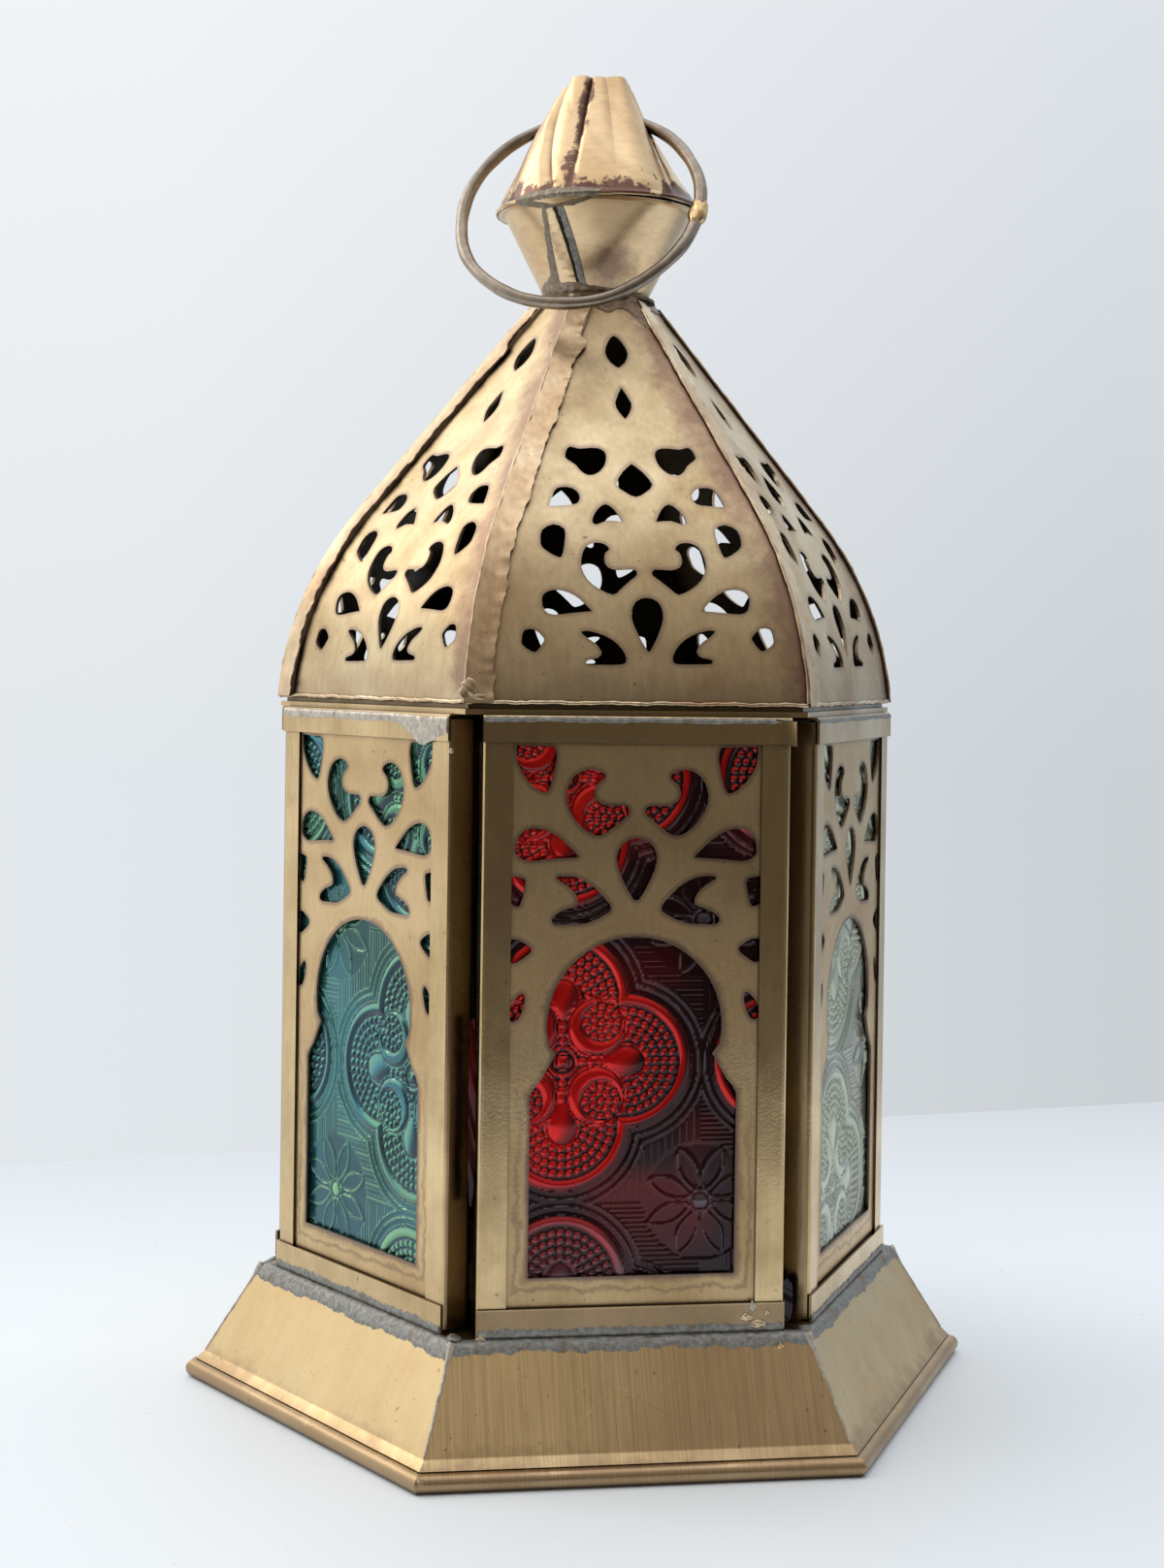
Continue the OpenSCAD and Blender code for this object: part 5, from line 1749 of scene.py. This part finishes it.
def ground_pattern(a, b, edge, straight):
    """The height of the relief outside the medallions."""
    c = REPEAT / 2 - np.abs(a)
    d = REPEAT / 2 - np.abs(b)
    flower = np.hypot(c, d)
    sector = math.pi / PETALS * 2
    off_axis = np.arctan2(d, c) % sector - sector / 2
    petal_along = flower * np.cos(off_axis)
    petal_beside = np.abs(flower * np.sin(off_axis))
    fill = np.clip((petal_along - PETAL_FOOT) / (PETAL_TIP - PETAL_FOOT), 0, 1)
    petal_half = PETAL_HALF * np.sin(math.pi * fill) ** 0.8
    within = (petal_along > PETAL_FOOT) & (petal_along < PETAL_TIP)
    petal_line = 0.6 * ridge(petal_beside - petal_half, 0.15) * within
    petals = petal_line + 0.12 * (petal_beside < petal_half) * within
    stamen = roll(flower, 1.2) + 0.7 * ridge(flower - 1.6, 0.15)
    lines = 0.75 * ridge(edge - 1.15, 0.15) + 0.75 * ridge(edge - 2.3, 0.15)
    ribs = 0.36 * (0.5 + 0.5 * np.cos(2 * math.pi * straight / RIB_STEP))
    ground = step(edge, 2.5, 2.7) * np.where(flower > 8.8, ribs, 0.0)
    return petals + stamen + lines + ground


def pressed_pattern(x, y):
    """Height of the relief from 0 to about 1, and how far a point is inside a medallion."""
    a = (x + REPEAT / 2) % REPEAT - REPEAT / 2
    b = (y + REPEAT / 2) % REPEAT - REPEAT / 2
    # The nearest lobe of the medallion lies along the longer of the two coordinates
    sideways = np.abs(a) >= np.abs(b)
    p = np.where(sideways, np.abs(a), np.abs(b)) - LOBE_AWAY
    beside = np.where(sideways, b * np.sign(a), -a * np.sign(b))
    edge = np.hypot(p, beside) - LOBE_RADIUS
    medallion = medallion_pattern(a, b, np.hypot(a, b), edge, p, beside)
    outside = ground_pattern(a, b, edge, np.where(a * b > 0, y, x))
    height = np.where(edge > 0.25, outside, np.maximum(medallion, 0))
    return np.clip(height, 0, 1.1), step(-edge, -0.2, 0.4)


middles = np.array([0.0, REPEAT / 2])
print("Relief in a heart and a flower:", np.round(pressed_pattern(middles, middles)[0], 2))

# %% [markdown]
# ### Cutting the panes
#
# Each pane starts as a flat grid of the pane's size, standing in the front window. Its points
# are pushed out by the pattern, its border is extruded back to give the glass its thickness,
# and one face closes the back. Then the pane is turned to its own side.
#
# Three attributes go with the points for the material: where the relief is high, where a
# medallion lies, and which slopes look up to the left, where the window is. The material paints
# light and shade from the first and the last.

# %% Make the panes
GLASS_GRID = 0.27
RELIEF = 0.42
RELIEF_ROOM = 0.50
# Where on the pressed sheet the middle of each pane was cut, across and up in mm
CUT_FROM = [(10.7, 5.4), (6.0, -13.0), (-9.0, 20.0), (17.0, 4.0), (-4.0, 12.0), (-13.2, 9.5)]
# The slope of the relief is measured between two points this far to each side, in mm
NUDGE = 0.05


def panel_name(side):
    """What a side's panel is called: the back one is the door."""
    return "door" if side == BACK else SIDES[side] + "_panel"


def turned_box(node, side):
    """The lowest and highest corner of a node in mm, as if its side faced the front."""
    turn = Matrix.Rotation(-side * SIXTH, 4, "Z")
    corners = np.array([list(turn @ v.co) for v in nodes[node].data.vertices]) / MM
    return corners.min(0), corners.max(0)


def flat_pane(name, low, high, face):
    """A fine grid as wide and tall as the pane, upright at the depth of its front face."""
    wide, tall = high[0] - low[0], high[2] - low[2]
    bpy.ops.object.select_all(action="DESELECT")
    bpy.ops.mesh.primitive_grid_add(
        x_subdivisions=round(wide / GLASS_GRID), y_subdivisions=round(tall / GLASS_GRID), size=1,
        rotation=(math.pi / 2, 0, 0),
    )
    pane = bpy.context.object
    pane.name = name
    pane.scale = (wide * MM, tall * MM, 1)
    pane.location = (0, face * MM, (low[2] + high[2]) / 2 * MM)
    settle(pane)
    return pane


def close_pane(pane, thickness):
    """Extrudes the border back by the thickness in mm and closes the back with one face."""
    only(pane)
    bpy.ops.object.mode_set(mode="EDIT")
    bpy.ops.mesh.select_all(action="SELECT")
    bpy.ops.mesh.region_to_loop()
    bpy.ops.mesh.extrude_edges_move(TRANSFORM_OT_translate={"value": (0, thickness * MM, 0)})
    bpy.ops.mesh.edge_face_add()
    bpy.ops.mesh.select_all(action="SELECT")
    bpy.ops.mesh.normals_make_consistent(inside=False)
    bpy.ops.object.mode_set(mode="OBJECT")


def make_pane(side):
    """A pane of pressed glass in its own window, which takes the plain node's place."""
    low, high = turned_box(panel_name(side) + "_glass", side)
    face = low[1] + RELIEF_ROOM
    pane = flat_pane("pane_" + panel_name(side), low, high, face)
    count = len(pane.data.vertices)
    points = np.zeros(count * 3)
    pane.data.vertices.foreach_get("co", points)
    points = points.reshape(-1, 3)
    across, up = CUT_FROM[side]
    x = points[:, 0] / MM + across
    y = points[:, 2] / MM - (low[2] + high[2]) / 2 + up
    height, inside = pressed_pattern(x, y)
    rises_right = (pressed_pattern(x + NUDGE, y)[0] - pressed_pattern(x - NUDGE, y)[0]) / (2 * NUDGE)
    rises_up = (pressed_pattern(x, y + NUDGE)[0] - pressed_pattern(x, y - NUDGE)[0]) / (2 * NUDGE)
    # How far each slope looks up to the left, to the window: the glass colour paints highlight and shade
    # from it
    flash = np.tanh(5 * (0.8 * rises_right - 0.6 * rises_up))
    # The relief fades at the pane's upright edges, which slide into the frame
    rim = np.minimum(points[:, 0] / MM - low[0], high[0] - points[:, 0] / MM)
    height = height * step(rim, 0.4, 1.2)
    points[:, 1] -= height * RELIEF * MM
    pane.data.vertices.foreach_set("co", points.ravel())
    close_pane(pane, high[1] - face)
    for name, values in (("relief", height), ("medallion", inside), ("flash", flash)):
        layer = pane.data.attributes.new(name, "FLOAT", "POINT")
        padded = np.zeros(len(pane.data.vertices), np.float32)
        padded[:count] = values
        layer.data.foreach_set("value", padded)
    only(pane)
    bpy.ops.object.shade_smooth_by_angle(angle=math.radians(50))
    pane.rotation_euler.z = side * SIXTH
    settle(pane)
    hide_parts(panel_name(side) + "_glass")
    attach(pane, "door" if side == BACK else "lantern")
    return pane


panes = [make_pane(side) for side in range(6)]
print("Panes:", len(panes), "triangles each:", triangles(panes[0]))

# %% [markdown]
# ### Colouring the glass
#
# The panes are clear glass with a thin coat of colour that also mirrors a little. Metallic stands
# for that mirror coat, and transmission lets the inside of the lantern show. Their flashes of
# bright colour and the near black beside them are painted light and shade: raised parts and slopes
# that look to the window are painted lighter, and sunk parts, slopes that look away and the right
# side of each pane darker. Low down a painted haze of reflection covers each pane. The medallions
# are brighter than the ground.

# %% Glass materials
GLASS_ROUGHNESS = 0.18
GLASS_IOR = 1.5


def pressed_glass(name, bright, second, shade, ground, line, bottom, mirror, clear, flat=0.0, contrast=0.5,
                  line_share=0.5, patchy=0.45, gleam=0.2):
    """bright, second and shade are the lit and sunk parts of a medallion, ground and line the same
    outside it. The lit parts and the raised lines are painted highlight, and the sunk parts of a
    medallion painted shade. bottom is the ground low down, a painted haze of reflection. flat is how
    much colour the sunk parts keep and contrast how much darker, as painted shade, the slopes are
    that look away from the window. line_share is how clear the lines of the ground are, patchy how
    much of the second colour it has and gleam how much the slopes that look to the window take of
    the line's colour, as a painted highlight."""
    material, tree = new_material(name)
    place = add_node(tree, "Group", node_tree=panel_place)
    inside = add_node(tree, "Attribute", attribute_name="medallion").outputs["Fac"]
    relief = add_node(tree, "Attribute", attribute_name="relief").outputs["Fac"]
    flash = add_node(tree, "Attribute", attribute_name="flash").outputs["Fac"]
    drift = add_node(tree, "TexNoise", {"Vector": place.outputs["Whole"], "Scale": 0.07, "Detail": 2.0})
    drifted = add_node(tree, "MapRange", {0: drift, 1: 0.35, 2: 0.65, 3: -0.15, 4: 0.15})
    # Painted light and shade: each pane is lighter on its left, towards the window, and nearly black on its
    # right
    side_light_shade = add_node(tree, "MapRange", {0: place.outputs["Across"], 1: -14.0, 2: 16.0, 3: 0.05, 4: -0.25})
    tone = add_node(tree, "Math", {0: drifted, 1: side_light_shade}, operation="ADD")
    # Painted shade: the sunk parts of the relief keep only the flat share of the lit colour
    raised = add_node(tree, "MapRange", {0: relief, 1: 0.12, 2: 0.45, 3: flat, 4: 1.0})
    # Painted shade on the slopes that look away from the window
    turned = add_node(tree, "MapRange", {0: flash, 1: -1.0, 2: 0.2, 3: 1.0 - 2 * contrast, 4: 1.0})
    slope = add_node(tree, "Math", {0: raised, 1: turned}, operation="MULTIPLY")
    lit = add_node(tree, "Math", {0: slope, 1: tone}, operation="ADD", use_clamp=True)
    hue = add_node(tree, "TexNoise", {"Vector": place.outputs["Whole"], "Scale": 0.045, "Detail": 1.0})
    hued = add_node(tree, "MapRange", {0: hue, 1: 0.4, 2: 0.6})
    top = add_node(tree, "MixRGB", {0: hued, 1: linear(bright), 2: linear(second)})
    medallion = add_node(tree, "MixRGB", {0: lit, 1: linear(shade), 2: top})
    # Painted highlight: the raised lines of the ground take the line colour
    thin = add_node(tree, "MapRange", {0: relief, 1: 0.3, 2: 0.8, 3: 0.0, 4: line_share})
    patch = add_node(tree, "MapRange", {0: hue, 1: 0.50, 2: 0.62, 3: 0.0, 4: patchy})
    field = add_node(tree, "MixRGB", {0: patch, 1: linear(ground), 2: linear(second)})
    around = add_node(tree, "MixRGB", {0: thin, 1: field, 2: linear(line)})
    colour = add_node(tree, "MixRGB", {0: inside, 1: around, 2: medallion})
    # A painted haze of reflection low down on each pane
    low = add_node(tree, "MapRange", {0: place.outputs["Up"], 1: 28.0, 2: 44.0, 3: 0.85, 4: 0.0})
    faded = add_node(tree, "MixRGB", {0: thin, 1: linear(bottom), 2: linear(line)})
    lower = add_node(tree, "MixRGB", {0: low, 1: colour, 2: faded})
    # Painted highlight: slopes that look to the window take the line colour
    gleams = add_node(tree, "MapRange", {0: flash, 1: 0.1, 2: 0.9, 3: 0.0, 4: gleam})
    shown = add_node(tree, "MixRGB", {0: gleams, 1: lower, 2: linear(line)})
    shader = add_node(tree, "BsdfPrincipled", {
        "Base Color": shown, "Metallic": mirror, "Roughness": GLASS_ROUGHNESS, "IOR": GLASS_IOR,
        "Transmission Weight": clear, "Coat Weight": 0.15, "Coat Roughness": 0.08,
    })
    add_node(tree, "OutputMaterial", {0: shader})
    return material


glass_red = pressed_glass("pressed glass, ruby stain", "#f01414", "#f8231a", "#2c040a", "#2a070e",
                          "#7d808e", "#20131b", 0.5, 0.3, contrast=0.42, line_share=0.42, patchy=0.12,
                          gleam=0.0)
glass_pale = pressed_glass("pressed glass, pale green lustre", "#dce2c4", "#cfe0c0", "#97a28c", "#adb3a0",
                           "#e6ecd6", "#b3b4aa", 0.4, 0.5, flat=0.35, contrast=0.35)
glass_teal = pressed_glass("pressed glass, teal stain", "#6cc594", "#3f93a4", "#123a46", "#1d5658",
                           "#a6e8a8", "#2b6070", 0.45, 0.35, flat=0.15, contrast=0.6, line_share=0.75,
                           gleam=0.34)
print("Glass roughness:", GLASS_ROUGHNESS)

# %% [markdown]
# ### Giving out the colours
#
# The three colours go round the lantern twice, in the order red, pale green and teal. Two thin
# splinters of red glass also show in the grooves beside the front panel, where its pane was cut
# too wide. They are laid sheets, wide in the middle and narrow at both ends.

# %% Colours of the panes
GLASSES = [(glass_red, "glass_red"), (glass_pale, "glass_pale_green"), (glass_teal, "glass_teal")]
# Each splinter's left and right edge, how far out it lies, and its lower and upper end, in mm
SLIVERS = [(-24.7, -23.6, 43.7, 38.0, 66.0), (23.6, 25.4, 43.9, 19.3, 26.0)]


def colour_panes():
    """Gives each pane its glass."""
    for side, pane in enumerate(panes):
        material, slot = GLASSES[side % len(GLASSES)]
        pane.data.materials.append(material)


def make_sliver(number, left, right, out, low, high):
    """A splinter of red glass that shows in a groove."""
    def surface(u, v):
        middle = (left + right) / 2
        half = (right - left) / 2 * (1 - 0.75 * (2 * v - 1) ** 4)
        wavy = out + 0.15 * wander(v * 6 + u, number)
        return on_side(middle + half * (2 * u - 1), wavy, low + (high - low) * v, 0)

    sliver = laid_sheet("glass_sliver_%d" % number, surface, 6, 40, 0.6)
    return finished(sliver, glass_red, "glass_red")


colour_panes()
slivers = [make_sliver(number + 1, *spot) for number, spot in enumerate(SLIVERS)]
print("Glass colours:", len(GLASSES), "splinters:", len(slivers))
